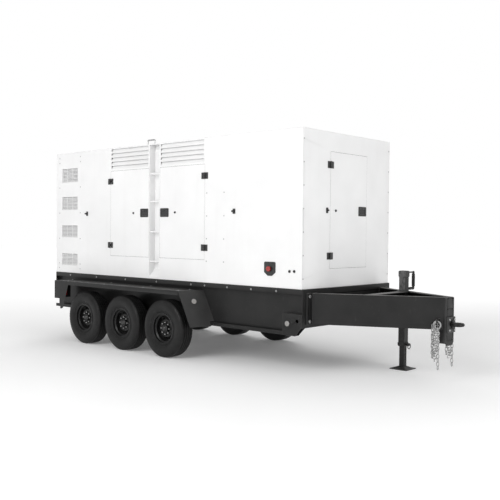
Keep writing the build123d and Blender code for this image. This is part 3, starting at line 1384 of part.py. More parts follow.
def fasteners():
    """Every visible screw and bolt: wall screws, sill bolts, fender bolts, drawbar and eye bolts."""
    right = []
    for height in SCREW_HEIGHTS:
        for station in SCREW_STATIONS:
            right.append(screw((back(station), -SIDE, DECK + height), (0, -1, 0), 4.5, 9, 4, 12))
    for height in ACCESS_HEIGHTS:
        for station in ACCESS_STATIONS:
            right.append(screw((back(station), -SIDE, DECK + height), (0, -1, 0), 4.5, 9, 4, 0))
    for station in SILL_BOLT_STATIONS:
        right.append(screw((back(station), -FRAME_FACE, SILL_BOLT_Z), (0, -1, 0), 7, 14, 8, 0))
    for station in FENDER_BOLT_STATIONS:
        right.append(screw((back(station), -FRAME_FACE - 14, FENDER_TOP), (0, 0, 1), 7, 14, 8, 0))
    for station in FENDER_EDGE_BOLT_STATIONS:
        right.append(screw((back(station), -OVERALL_HALF_WIDTH + 34, FENDER_TOP), (0, 0, 1), 7, 14, 8, 0))
    for height in FLANGE_BOLT_Z:
        place = (FRONT + FRAME_NOSE + FLANGE_THICKNESS, -FLANGE_BOLT_Y * -1, height)
        right.append(screw(place, (1, 0, 0), BOLT_RADIUS, 21, 15, FLANGE_THICKNESS + FRAME_PLATE + 12))
    rows = [COUPLER_HOLE_TOP - row * COUPLER_HOLE_PITCH for row in EYE_ROWS]
    for height in rows:
        place = (FRONT + COUPLER_FACE + EYE_PLATE, -COUPLER_HOLES_Y / 2, height)
        right.append(screw(place, (1, 0, 0), 9, 15, 13, EYE_PLATE + 24))
    solids = []
    for piece in right:
        solids.extend(piece.solids())
        solids.extend(mirror(piece, about=Plane.XZ).solids())
    for height in END_SCREW_HEIGHTS:
        for y in (-END_SCREW_Y, END_SCREW_Y):
            solids.extend(screw((FRONT, y, DECK + height), (1, 0, 0), 4.5, 9, 4, SHEET).solids())
    return Compound(children=solids)


# ---------------------------------------------------------------- placing and writing


def place_wheel(shape, station, side):
    """A wheel-centred piece moved to its axle; on the left-hand side it is mirrored."""
    placed = shape.moved(Location((back(station), -WHEEL_Y, TYRE_RADIUS)))
    return placed if side == "right" else mirror(placed, about=Plane.XZ)


running_gear = {"tyre": tyre(), "wheel": wheel(), "suspension_arm": suspension_arm()}
for axle, station in AXLE_STATIONS.items():
    for side in ("right", "left"):
        for kind, shape in running_gear.items():
            write(place_wheel(shape, station, side), f"{kind}_{axle}_{side}")
write(axle_tubes(), "axle_tubes")

write(base_frame(), "base_frame")
write(fuel_tank(), "fuel_tank")
write_both_sides(fender(), "fender")
write(drawbar(), "drawbar")
write(lunette_eye(), "lunette_eye")
write(jack_housing(), "jack_housing")
write(jack_ram(), "jack_ram")
write(jack_drop_leg(), "jack_drop_leg")
write(jack_crank(), "jack_crank")
write(jack_pin(), "jack_pin")
write_both_sides(safety_chain(), "safety_chain")

write(side_panel(stop_hole=True), "side_panel_right")
write(mirror(side_panel(stop_hole=False), about=Plane.XZ), "side_panel_left")
write(front_panel(), "front_panel")
write(rear_panel(), "rear_panel")
write(roof_panel(), "roof_panel")
write(with_mirror(grab_bail()), "grab_bails")
write(with_mirror(vent_grilles()), "vent_grilles")
write(body_fittings(), "body_fittings")
write(stop_button(), "stop_button")
for name, width, height, hinge_heights, place, flip in placed_doors():
    for kind, shape in ((name, door_leaf(width, height, hinge_heights)),
                        (name.replace("door", "latch"), latch_paddle(width, height))):
        shape = (flipped(shape) if flip else shape).moved(place)
        if name == "control_door":
            write(shape, kind)
        else:
            write_both_sides(shape, kind)

write(engine_block(), "engine_block")
write(alternator(), "alternator")
write(fan_and_crankshaft(), "fan_and_crankshaft")
write(radiator(), "radiator")
write(muffler(), "muffler")
write(batteries(), "batteries")
write(control_panel(), "control_panel")
write(lamps_and_reflectors(), "lamps_and_reflectors")
write(fasteners(), "fasteners")
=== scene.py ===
"""The looks of the towable diesel generator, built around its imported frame. Metres, +X to the towing eye."""

import math

import bmesh
import bpy
from mathutils import Matrix, Vector


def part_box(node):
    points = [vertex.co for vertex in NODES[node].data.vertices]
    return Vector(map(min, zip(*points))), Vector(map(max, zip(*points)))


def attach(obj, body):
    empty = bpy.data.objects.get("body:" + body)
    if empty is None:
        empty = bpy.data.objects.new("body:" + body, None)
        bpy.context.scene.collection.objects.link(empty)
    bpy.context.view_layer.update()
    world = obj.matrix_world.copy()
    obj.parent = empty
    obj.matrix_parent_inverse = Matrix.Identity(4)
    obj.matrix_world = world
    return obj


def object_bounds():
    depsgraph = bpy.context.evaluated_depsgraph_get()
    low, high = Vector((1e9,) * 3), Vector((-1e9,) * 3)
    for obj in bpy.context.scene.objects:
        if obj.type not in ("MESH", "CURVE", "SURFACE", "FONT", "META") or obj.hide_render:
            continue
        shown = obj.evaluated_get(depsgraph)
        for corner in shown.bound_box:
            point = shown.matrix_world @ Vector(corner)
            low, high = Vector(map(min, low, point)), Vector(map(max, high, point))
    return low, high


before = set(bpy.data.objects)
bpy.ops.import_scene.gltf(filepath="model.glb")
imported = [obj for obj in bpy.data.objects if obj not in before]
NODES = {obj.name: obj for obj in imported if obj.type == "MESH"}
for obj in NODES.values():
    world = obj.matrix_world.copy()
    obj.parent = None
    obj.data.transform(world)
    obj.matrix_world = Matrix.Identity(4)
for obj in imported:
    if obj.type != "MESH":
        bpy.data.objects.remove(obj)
CAD_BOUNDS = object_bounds()

# Places taken from the frame
ROOF_LOW, ROOF_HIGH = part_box("roof_panel")
FRAME_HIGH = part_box("base_frame")[1]
DECK = FRAME_HIGH.z
FRONT_X = ROOF_HIGH.x
SIDE_Y = ROOF_HIGH.y
AXLES = ("front", "middle", "rear")
SIDES = ("right", "left")

# Wheels
STUDS = 8
STUD_RADIUS = 0.0825
NUT_FACE = -0.0338
NUT_POINTS = 12
TREAD_BLOCKS = 56

# Doors, louvres and air vents of the side walls
DOOR_GAP = 0.003
SEAL_WIDTH = 0.0026
DOOR_FOOT = 1.370
DOOR_HEAD = 2.673
DOOR_MIDDLE = 2.0215
DOOR_SPANS = {"rear_door": (-1.9735, -1.0625), "front_door": (-0.8155, 0.1105)}
KEY_PLUG_X = {"rear_door": -1.416, "front_door": -0.488}
KEY_PLUG_RADIUS = 0.013
CONTROL_KEY_PLUG = (-0.292, 2.035)
LOUVRE_FOOT = 2.692
LOUVRE_HEAD = 3.008
VENT_X = (-3.2935, -2.8535)
VENT_SPANS = ((1.181, 1.370), (1.641, 1.834), (2.094, 2.304), (2.546, 2.770))
SLAT_PITCH = 0.022
SLAT_TILT = 0.6

# Drawbar, jack and chains
ARM_ROOT = (1.8495, 0.808)
ARM_TIP = (3.2635, 0.090)
ARM_FOOT = 0.624
ARM_HEAD = 1.005
JACK_X = 2.4235
JACK_Y = 0.377
JACK_HALF = 0.0455
CHAIN_X = 3.2035
CHAIN_Y = 0.1735
LINK_STEP = 0.0300
SLACK_SHIFT = -0.022

# Roof
ROOF_SEAMS = (-1.80, 0.10)
LIFT_POINT_INSET = 0.35
LIFT_POINT_Y = 0.62
EXHAUST_X = -1.250

# Camera and floor
CAMERA_PLACE = (7.4558, -8.1152, 1.7448)
CAMERA_AZIMUTH = 42.306
CAMERA_ELEVATION = 1.3306
CAMERA_ROLL = 0.5371
CAMERA_LENS = 53.88
WORLD_STRENGTH = 0.50
FLOOR_REACH = 60


# ---------------------------------------------------------------- materials


class Shader:
    """One node-based material, written in short steps."""

    def __init__(self, name, roughness=0.5, metallic=0.0):
        """A new material with its plain roughness and metallic values."""
        self.material = bpy.data.materials.new(name)
        self.material.use_nodes = True
        self.nodes = self.material.node_tree.nodes
        self.links = self.material.node_tree.links
        self.surface = self.nodes["Principled BSDF"]
        self.surface.inputs["Roughness"].default_value = roughness
        self.surface.inputs["Metallic"].default_value = metallic
        self.coords = self.nodes.new("ShaderNodeTexCoord").outputs["Object"]

    def join(self, source, target):
        """Links a socket or sets a plain value."""
        if isinstance(source, bpy.types.NodeSocket):
            self.links.new(source, target)
        else:
            target.default_value = source

    def noise(self, scale, detail=4.0, stretch=(1, 1, 1)):
        """Noise at a scale per metre, stretched along the axes."""
        mapping = self.nodes.new("ShaderNodeMapping")
        mapping.inputs["Scale"].default_value = stretch
        self.links.new(self.coords, mapping.inputs["Vector"])
        node = self.nodes.new("ShaderNodeTexNoise")
        node.inputs["Scale"].default_value = scale
        node.inputs["Detail"].default_value = detail
        self.links.new(mapping.outputs["Vector"], node.inputs["Vector"])
        return node.outputs["Fac"]

    def ramp(self, value, low, high):
        """0 below low, 1 above high."""
        node = self.nodes.new("ShaderNodeMapRange")
        node.inputs["From Min"].default_value = low
        node.inputs["From Max"].default_value = high
        self.join(value, node.inputs["Value"])
        return node.outputs["Result"]

    def math(self, operation, first, second=0.0):
        """One arithmetic step."""
        node = self.nodes.new("ShaderNodeMath")
        node.operation = operation
        self.join(first, node.inputs[0])
        self.join(second, node.inputs[1])
        return node.outputs["Value"]

    def mix(self, factor, first, second):
        """A colour between two colours."""
        node = self.nodes.new("ShaderNodeMix")
        node.data_type = "RGBA"
        self.join(factor, node.inputs["Factor"])
        self.join(first, node.inputs[6])
        self.join(second, node.inputs[7])
        return node.outputs[2]

    def axis(self, letter):
        """One coordinate of the place on the object, in metres."""
        node = self.nodes.new("ShaderNodeSeparateXYZ")
        self.links.new(self.coords, node.inputs["Vector"])
        return node.outputs[letter]

    def upward(self):
        """How far the surface faces up, from -1 to 1."""
        geometry = self.nodes.new("ShaderNodeNewGeometry")
        node = self.nodes.new("ShaderNodeSeparateXYZ")
        self.links.new(geometry.outputs["Normal"], node.inputs["Vector"])
        return node.outputs["Z"]

    def edges(self, low=0.52, high=0.6):
        """1 on worn convex edges."""
        geometry = self.nodes.new("ShaderNodeNewGeometry")
        return self.ramp(geometry.outputs["Pointiness"], low, high)

    def bump(self, height, strength, distance=0.001):
        """Surface relief."""
        node = self.nodes.new("ShaderNodeBump")
        node.inputs["Strength"].default_value = strength
        node.inputs["Distance"].default_value = distance
        self.join(height, node.inputs["Height"])
        self.links.new(node.outputs["Normal"], self.surface.inputs["Normal"])

    def colour(self, value):
        """Sets the base colour."""
        self.join(value, self.surface.inputs["Base Color"])

    def rough(self, value):
        """Sets the roughness."""
        self.join(value, self.surface.inputs["Roughness"])

    def sheen_level(self, level):
        """How strongly the bare surface mirrors its surroundings; 0.5 is plain plastic."""
        self.surface.inputs["Specular IOR Level"].default_value = level

    def coat(self, weight, roughness=0.08):
        """A clear glossy layer over the surface."""
        self.surface.inputs["Coat Weight"].default_value = weight
        self.surface.inputs["Coat Roughness"].default_value = roughness


def grey(level, warm=0.0):
    """A grey, optionally a little warm."""
    return (level * (1 + warm), level, level * (1 - warm), 1.0)


def white_paint():
    """Powder coat: near white, a trace of road dust low down, fine orange peel."""
    s = Shader("white_paint", roughness=0.32)
    cloud = s.noise(1.6, 5)
    streak = s.noise(7.0, 3, (1, 1, 0.08))
    dust = s.math("MULTIPLY", s.ramp(s.axis("Z"), DECK + 0.35, DECK), s.ramp(cloud, 0.35, 0.75))
    base = s.mix(s.ramp(cloud, 0.3, 0.7), grey(0.80), grey(0.86))
    base = s.mix(s.math("MULTIPLY", s.ramp(streak, 0.55, 0.8), 0.10), base, grey(0.62, 0.03))
    base = s.mix(s.math("MULTIPLY", dust, 0.03), base, grey(0.50, 0.06))
    s.colour(base)
    s.rough(s.math("ADD", 0.26, s.math("MULTIPLY", s.noise(22, 2), 0.14)))
    s.bump(s.noise(420, 2), 0.10, 0.0004)
    s.coat(0.25, 0.12)
    return s


def chassis_paint(name, dust_and_top_highlight):
    """Satin black steel paint with scuffs and worn edges; upward faces are paler, partly from dust and partly
    a painted highlight of the light from above.
    """
    s = Shader(name, roughness=0.42)
    cloud = s.noise(3.2, 6)
    scuff = s.noise(34, 5, (1, 1, 0.35))
    base = s.mix(s.ramp(cloud, 0.3, 0.72), grey(0.006), grey(0.013, 0.01))
    # Upward faces turn paler: partly dust, partly a painted highlight of the light from above.
    dust = s.math("MULTIPLY", s.ramp(s.upward(), 0.35, 1.0), s.ramp(cloud, 0.2, 0.7))
    base = s.mix(s.math("MULTIPLY", dust, dust_and_top_highlight), base, grey(0.22, 0.03))
    base = s.mix(s.math("MULTIPLY", s.ramp(scuff, 0.64, 0.74), 0.10), base, grey(0.10))
    base = s.mix(s.math("MULTIPLY", s.edges(), 0.25), base, grey(0.14))
    s.colour(base)
    s.rough(s.math("ADD", 0.34, s.math("MULTIPLY", cloud, 0.24)))
    s.bump(s.noise(260, 3), 0.16, 0.0005)
    s.sheen_level(0.28)
    s.coat(0.10, 0.2)
    return s


def jack_paint():
    """Chassis paint whose right-hand face, turned to the key lamp, is painted paler above the drawbar in noisy
    patches: a painted highlight.
    """
    s = chassis_paint("jack_paint", 0.22)
    painted = s.surface.inputs["Base Color"].links[0].from_socket
    geometry = s.nodes.new("ShaderNodeNewGeometry")
    facing = s.nodes.new("ShaderNodeSeparateXYZ")
    s.links.new(geometry.outputs["Normal"], facing.inputs["Vector"])
    # Faces turned to -Y, towards the key lamp, get a painted highlight in noisy patches above the drawbar.
    right_face = s.ramp(facing.outputs["Y"], -0.6, -0.9)
    height = s.ramp(s.axis("Z"), FRAME_HIGH.z - 0.06, FRAME_HIGH.z - 0.02)
    lit_face_highlight = s.math("MULTIPLY", s.math("MULTIPLY", right_face, height), s.ramp(s.noise(24, 4), 0.25, 0.55))
    s.colour(s.mix(lit_face_highlight, painted, grey(0.11)))
    return s


def tyre_rubber():
    """Rubber: greyed by dust in noisy patches, finely grained."""
    s = Shader("tyre_rubber", roughness=0.6)
    cloud = s.noise(9, 5)
    base = s.mix(s.ramp(cloud, 0.3, 0.7), grey(0.006), grey(0.013))
    base = s.mix(s.math("MULTIPLY", s.ramp(s.noise(60, 4), 0.5, 0.75), 0.15), base, grey(0.05, 0.04))
    s.colour(base)
    s.rough(s.math("ADD", 0.42, s.math("MULTIPLY", cloud, 0.15)))
    s.bump(s.noise(700, 2), 0.22, 0.0004)
    s.sheen_level(0.18)
    s.coat(0.10, 0.14)
    return s


def wheel_paint():
    """Dark wheel paint with a thin clear coat."""
    s = Shader("wheel_paint", roughness=0.36)
    cloud = s.noise(14, 5)
    s.colour(s.mix(s.ramp(cloud, 0.3, 0.72), grey(0.006), grey(0.014)))
    s.rough(s.math("ADD", 0.28, s.math("MULTIPLY", cloud, 0.2)))
    s.bump(s.noise(380, 2), 0.14, 0.0004)
    s.sheen_level(0.20)
    s.coat(0.12, 0.12)
    return s


def plated_steel(name="plated_steel", level=0.62, roughness=0.3):
    """Zinc-plated steel: spangled tone and soft scratches."""
    s = Shader(name, roughness=roughness, metallic=1.0)
    spangle = s.noise(120, 3)
    s.colour(s.mix(s.ramp(spangle, 0.35, 0.65), grey(level * 0.75), grey(level * 1.1)))
    s.rough(s.math("ADD", roughness - 0.08, s.math("MULTIPLY", s.noise(45, 4), 0.25)))
    s.bump(s.noise(500, 3), 0.12, 0.0003)
    return s


def cast_paint():
    """Painted iron casting: rough skin, oil-darkened patches."""
    s = Shader("cast_paint", roughness=0.6)
    cloud = s.noise(5, 6)
    s.colour(s.mix(s.ramp(cloud, 0.35, 0.7), grey(0.05), grey(0.16)))
    s.bump(s.noise(170, 5), 0.5, 0.001)
    return s


def cast_metal():
    """Bare light alloy with a grained skin."""
    s = Shader("cast_metal", roughness=0.5, metallic=0.7)
    cloud = s.noise(16, 5)
    s.colour(s.mix(s.ramp(cloud, 0.3, 0.7), grey(0.28), grey(0.46)))
    s.bump(s.noise(240, 4), 0.3, 0.0006)
    return s


def black_plastic():
    """Moulded satin black with a fine grain."""
    s = Shader("black_plastic", roughness=0.45)
    cloud = s.noise(40, 3)
    s.colour(s.mix(s.ramp(cloud, 0.3, 0.7), grey(0.014), grey(0.03)))
    s.bump(s.noise(900, 2), 0.3, 0.0003)
    s.coat(0.15, 0.3)
    return s


def door_skin():
    """White door sheet whose latch dish and hinge leaves, which stand proud of it, are black."""
    s = white_paint()
    s.material.name = "door_skin"
    painted = s.surface.inputs["Base Color"].links[0].from_socket
    proud_side = s.ramp(s.math("ABSOLUTE", s.axis("Y")), SIDE_Y + 0.0006, SIDE_Y + 0.0008)
    proud_front = s.ramp(s.axis("X"), FRONT_X + 0.0006, FRONT_X + 0.0008)
    s.colour(s.mix(s.math("MAXIMUM", proud_side, proud_front), painted, grey(0.02)))
    return s


def fastener_skin():
    """Plated bolts on the chassis; painted screw heads on the walls above the deck."""
    s = plated_steel("fastener_skin", 0.38, 0.34)
    plated = s.surface.inputs["Base Color"].links[0].from_socket
    above = s.ramp(s.axis("Z"), DECK, DECK + 0.01)
    s.colour(s.mix(above, plated, grey(0.42)))
    s.join(s.math("SUBTRACT", 1.0, s.math("MULTIPLY", above, 0.8)), s.surface.inputs["Metallic"])
    return s


def reflector_skin():
    """Moulded prismatic lens: pale at the front, red in the rear lamps."""
    s = Shader("reflector_skin", roughness=0.18)
    cells = s.nodes.new("ShaderNodeTexVoronoi")
    cells.inputs["Scale"].default_value = 230
    s.links.new(s.coords, cells.inputs["Vector"])
    rear = s.ramp(s.axis("X"), CAD_BOUNDS[0][0] + 0.9, CAD_BOUNDS[0][0] + 0.8)
    pale = s.mix(s.ramp(cells.outputs["Distance"], 0.0, 0.6), grey(0.36, 0.02), grey(0.22, 0.04))
    s.colour(s.mix(rear, pale, (0.35, 0.01, 0.01, 1)))
    s.bump(cells.outputs["Distance"], 0.5, 0.0008)
    s.coat(1.0, 0.04)
    return s


def red_plastic():
    """Glossy red button cap."""
    s = Shader("red_plastic", roughness=0.25)
    cloud = s.noise(60, 3)
    s.colour(s.mix(s.ramp(cloud, 0.3, 0.7), (0.26, 0.012, 0.01, 1), (0.34, 0.018, 0.012, 1)))
    s.bump(s.noise(600, 2), 0.08, 0.0002)
    s.coat(0.6, 0.06)
    return s


def seal_rubber():
    """Black extruded rubber."""
    s = Shader("seal_rubber", roughness=0.55)
    s.colour(s.mix(s.ramp(s.noise(50, 3), 0.3, 0.7), grey(0.012), grey(0.03)))
    s.bump(s.noise(800, 2), 0.2, 0.0003)
    return s


def baffle_skin():
    """Pale sound-proofing foam that backs the air openings."""
    s = Shader("baffle_skin", roughness=0.9)
    s.colour(s.mix(s.ramp(s.noise(90, 4), 0.3, 0.7), grey(0.55), grey(0.72)))
    s.bump(s.noise(300, 4), 0.5, 0.001)
    return s


def floor_skin():
    """A pale studio floor that glows more towards its far edge, so that no horizon shows."""
    s = Shader("floor_skin", roughness=0.75)
    s.colour(s.mix(s.ramp(s.noise(0.6, 3), 0.3, 0.7), grey(0.90), grey(0.93)))
    s.bump(s.noise(40, 2), 0.03, 0.0005)
    length = s.nodes.new("ShaderNodeVectorMath")
    length.operation = "LENGTH"
    s.links.new(s.coords, length.inputs[0])
    s.surface.inputs["Emission Color"].default_value = (1, 1, 1, 1)
    glow = s.math("MULTIPLY", s.ramp(length.outputs["Value"], 3.0, 16.0), 0.45)
    s.join(s.math("ADD", glow, 0.12), s.surface.inputs["Emission Strength"])
    return s


WHITE = white_paint().material
CHASSIS = chassis_paint("chassis_paint", 0.22).material
# The drawbar's high value paints its upward faces much paler, mostly a painted highlight of the light from
# above.
DRAWBAR = chassis_paint("drawbar_paint", 0.75).material
JACK_PAINT = jack_paint().material
RUBBER = tyre_rubber().material
WHEEL = wheel_paint().material
PLATED = plated_steel().material
CHAIN = plated_steel("chain_steel", 0.45, 0.34).material
DARK_STEEL = plated_steel("dark_steel", 0.10, 0.42).material
CAST = cast_paint().material
ALLOY = cast_metal().material
PLASTIC = black_plastic().material
DOOR = door_skin().material
FASTENER = fastener_skin().material
REFLECTOR = reflector_skin().material
RED = red_plastic().material
SEAL_RUBBER = seal_rubber().material
BAFFLE = baffle_skin().material

MATERIAL_OF = (
    ("tyre", RUBBER), ("wheel", WHEEL), ("suspension", CHASSIS), ("axle", CHASSIS), ("base", CHASSIS),
    ("fuel", CHASSIS), ("fender", CHASSIS), ("drawbar", DRAWBAR), ("lunette", CHASSIS),
    ("jack_crank", DARK_STEEL), ("jack_pin", DARK_STEEL), ("jack_housing", JACK_PAINT), ("jack", CHASSIS),
    ("safety", CHAIN), ("side_panel", WHITE), ("front_panel", WHITE), ("rear_panel", WHITE), ("roof", WHITE),
    ("grab", PLATED), ("vent", WHITE), ("body_fit", PLASTIC), ("stop", RED), ("rear_door", DOOR),
    ("front_door", DOOR), ("control_door", DOOR), ("rear_latch", PLASTIC), ("front_latch", PLASTIC),
    ("control_latch", PLASTIC), ("engine", CAST), ("alternator", ALLOY), ("fan", CAST), ("radiator", ALLOY),
    ("muffler", PLATED), ("batteries", PLASTIC), ("control_panel", PLASTIC), ("lamps", REFLECTOR),
    ("fasteners", FASTENER),
)


def dress(node, material):
    """Gives a CAD node its one material."""
    node.data.materials.clear()
    node.data.materials.append(material)


for node_name, node in NODES.items():
    dress(node, next(m for prefix, m in MATERIAL_OF if node_name.startswith(prefix)))


# ---------------------------------------------------------------- mesh helpers


def piece(name, mesh, material, body, smooth=False):
    """Finishes one new piece: material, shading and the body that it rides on."""
    data = bpy.data.meshes.new(name)
    mesh.to_mesh(data)
    mesh.free()
    data.materials.append(material)
    for polygon in data.polygons:
        polygon.use_smooth = smooth
    made = bpy.data.objects.new(name, data)
    bpy.context.scene.collection.objects.link(made)
    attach(made, body)
    return made


def add_box(mesh, low, high, bevel=0.0):
    """A box with bevelled edges, added to a mesh."""
    low, high = Vector(low), Vector(high)
    size = high - low
    matrix = Matrix.Translation((low + high) / 2) @ Matrix.Diagonal((*size, 1))
    made = bmesh.ops.create_cube(mesh, size=1, matrix=matrix)
    if bevel:
        edges = {edge for vertex in made["verts"] for edge in vertex.link_edges}
        bmesh.ops.bevel(mesh, geom=list(edges), offset=bevel, segments=2, affect="EDGES", profile=0.6)
    return made


def add_bar(mesh, start, end, radius, segments=16):
    """A round bar between two points, added to a mesh."""
    start, end = Vector(start), Vector(end)
    run = end - start
    turn = run.to_track_quat("Z", "Y").to_matrix().to_4x4()
    matrix = Matrix.Translation((start + end) / 2) @ turn
    bmesh.ops.create_cone(mesh, cap_ends=True, segments=segments, radius1=radius, radius2=radius,
                          depth=run.length, matrix=matrix)


def ring_at(mesh, point, turn, radius, segments):
    """A ring of vertices round a point, square to the turned Z axis."""
    angles = [2 * math.pi * k / segments for k in range(segments)]
    return [mesh.verts.new(point + turn @ Vector((radius * math.cos(a), radius * math.sin(a), 0)))
            for a in angles]


def skin(mesh, rings):
    """Joins a row of equal rings with faces and closes both ends."""
    count = len(rings[0])
    for ring, following in zip(rings, rings[1:]):
        for k in range(count):
            nxt = (k + 1) % count
            mesh.faces.new((ring[k], ring[nxt], following[nxt], following[k]))
    mesh.faces.new(list(reversed(rings[0])))
    mesh.faces.new(rings[-1])


def add_lathe(mesh, profile, segments):
    """A surface turned about the Y axis from (radius, y) points, closed end to end."""
    rings = []
    for index in range(segments):
        angle = 2 * math.pi * index / segments
        rings.append([mesh.verts.new((r * math.cos(angle), y, r * math.sin(angle))) for r, y in profile])
    count = len(profile)
    for index in range(segments):
        ring, following = rings[index], rings[(index + 1) % segments]
        for step in range(count):
            nxt = (step + 1) % count
            mesh.faces.new((ring[step], ring[nxt], following[nxt], following[step]))


# ---------------------------------------------------------------- tyres and wheels

def wheel_centre(axle, side):
    """The middle of one wheel."""
    low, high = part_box(f"tyre_{axle}_{side}")
    return (low + high) / 2


def outward(side):
    """-1 on the right-hand side and 1 on the left."""
    return -1 if side == "right" else 1


def place(mesh, centre, side):
    """Moves a mesh built about the origin with its outside to -Y on to its wheel."""
    if side == "left":
        bmesh.ops.scale(mesh, vec=(1, -1, 1), verts=mesh.verts)
        bmesh.ops.reverse_faces(mesh, faces=mesh.faces)
    bmesh.ops.translate(mesh, vec=centre, verts=mesh.verts)


def add_lug(mesh, profile, middle, width):
    """One tread block: a (radius, y) outline carried round the tyre through a small angle."""
    ends = []
    for angle in (middle - width / 2, middle + width / 2):
        ends.append([mesh.verts.new((r * math.sin(angle), y, r * math.cos(angle))) for r, y in profile])
    first, last = ends
    for step in range(len(profile)):
        after = (step + 1) % len(profile)
        mesh.faces.new((first[step], first[after], last[after], last[step]))
    mesh.faces.new(list(reversed(first)))
    mesh.faces.new(last)


def tread():
    """Shoulder lugs and two rows of staggered blocks between the tyre's grooves."""
    mesh = bmesh.new()
    shoulder = (
        (0.3860, 0.0650), (0.4008, 0.0650), (0.4006, 0.0860), (0.3905, 0.0998), (0.3780, 0.1070),
        (0.3680, 0.1100), (0.3640, 0.1040),
    )
    rib = ((0.3920, 0.0245), (0.4034, 0.0245), (0.4030, 0.0475), (0.3920, 0.0475))
    crown = ((0.3920, -0.0115), (0.4036, -0.0115), (0.4036, 0.0115), (0.3920, 0.0115))
    step = 2 * math.pi / TREAD_BLOCKS
    for index in range(TREAD_BLOCKS):
        add_lug(mesh, crown, (index + 0.3) * step, step * 0.80)
        for edge in (-1, 1):
            for profile, shift, share in ((shoulder, 0.25 * edge, 0.70), (rib, 0.5 + 0.2 * edge, 0.78)):
                turned = [(r, edge * y) for r, y in profile]
                add_lug(mesh, turned, (index + shift) * step, step * share)
    bmesh.ops.recalc_face_normals(mesh, faces=mesh.faces)
    return mesh


def sidewall_rings():
    """Raised decorative and rim-protector rings on both sidewalls."""
    mesh = bmesh.new()
    for radius, depth, half_width in (
        (0.2330, 0.1055, 0.0045), (0.2500, 0.1115, 0.0020),
        (0.3180, 0.1165, 0.0018), (0.3440, 0.1150, 0.0030),
    ):
        for edge in (-1, 1):
            add_lathe(mesh, (
                (radius - 2 * half_width, edge * (depth - 0.006)), (radius - half_width, edge * depth),
                (radius + half_width, edge * depth), (radius + 2 * half_width, edge * (depth - 0.006)),
            ), 96)
    bmesh.ops.recalc_face_normals(mesh, faces=mesh.faces)
    return mesh


def nut_caps():
    """Capped nuts over the wheel studs, each with a tapered top."""
    mesh = bmesh.new()
    for index in range(STUDS):
        angle = 2 * math.pi * index / STUDS
        profile = ((0.0105, 0.0), (0.0122, 0.0), (0.0122, -0.016), (0.0100, -0.026), (0.0055, -0.0295))
        first = len(mesh.verts)
        for radius, ahead in profile:
            for corner in range(NUT_POINTS):
                turn = 2 * math.pi * corner / NUT_POINTS
                bulge = 1.0 if corner % 2 else 0.93
                mesh.verts.new((
                    STUD_RADIUS * math.cos(angle) + radius * bulge * math.cos(turn),
                    NUT_FACE + ahead,
                    STUD_RADIUS * math.sin(angle) + radius * bulge * math.sin(turn),
                ))
        mesh.verts.ensure_lookup_table()
        for ring in range(len(profile) - 1):
            for corner in range(NUT_POINTS):
                low, high = first + NUT_POINTS * ring, first + NUT_POINTS * (ring + 1)
                after = (corner + 1) % NUT_POINTS
                around = (low + corner, low + after, high + after, high + corner)
                mesh.faces.new([mesh.verts[i] for i in around])
        top = first + NUT_POINTS * (len(profile) - 1)
        mesh.faces.new([mesh.verts[top + corner] for corner in range(NUT_POINTS)])
        mesh.faces.new([mesh.verts[first + corner] for corner in reversed(range(NUT_POINTS))])
    bmesh.ops.recalc_face_normals(mesh, faces=mesh.faces)
    return mesh


def hub_trim():
    """The oil cap over the hub, with its rolled flange and shallow crown."""
    mesh = bmesh.new()
    add_lathe(mesh, (
        (0.0005, -0.0855), (0.0200, -0.0852), (0.0270, -0.0838), (0.0290, -0.0815), (0.0350, -0.0790),
        (0.0362, -0.0770), (0.0395, -0.0650), (0.0440, -0.0630), (0.0440, -0.0612), (0.0005, -0.0612),
    ), 48)
    bmesh.ops.recalc_face_normals(mesh, faces=mesh.faces)
    return mesh


def valve():
    """The tyre valve: a thin stem with its cap, beside the rim seat."""
    mesh = bmesh.new()
    add_bar(mesh, (0.0, -0.060, 0.168), (0.0, -0.094, 0.156), 0.0042, 12)
    add_bar(mesh, (0.0, -0.090, 0.1574), (0.0, -0.104, 0.1525), 0.0055, 12)
    return mesh


for axle in AXLES:
    for side in SIDES:
        centre = wheel_centre(axle, side)
        body = f"wheel_{axle}_{side}"
        mesh = tread()
        place(mesh, centre, side)
        piece(f"tread_{axle}_{side}", mesh, RUBBER, body)
        mesh = sidewall_rings()
        place(mesh, centre, side)
        piece(f"sidewall_rings_{axle}_{side}", mesh, RUBBER, body, smooth=True)
        for title, make, material in (("nut_caps", nut_caps, CHAIN), ("hub_trim", hub_trim, DARK_STEEL),
                                      ("valve", valve, PLASTIC)):
            mesh = make()
            place(mesh, centre, side)
            piece(f"{title}_{axle}_{side}", mesh, material, body, smooth=title == "hub_trim")


# ---------------------------------------------------------------- enclosure

def add_frame(mesh, x, z, y, outward_side, thickness, depth):
    """Four strips round an opening in a wall that faces along Y."""
    near, far = y, y - outward_side * depth
    low, high = min(near, far), max(near, far)
    add_box(mesh, (x[0], low, z[0]), (x[0] + thickness, high, z[1]))
    add_box(mesh, (x[1] - thickness, low, z[0]), (x[1], high, z[1]))
    add_box(mesh, (x[0] + thickness, low, z[0]), (x[1] - thickness, high, z[0] + thickness))
    add_box(mesh, (x[0] + thickness, low, z[1] - thickness), (x[1] - thickness, high, z[1]))


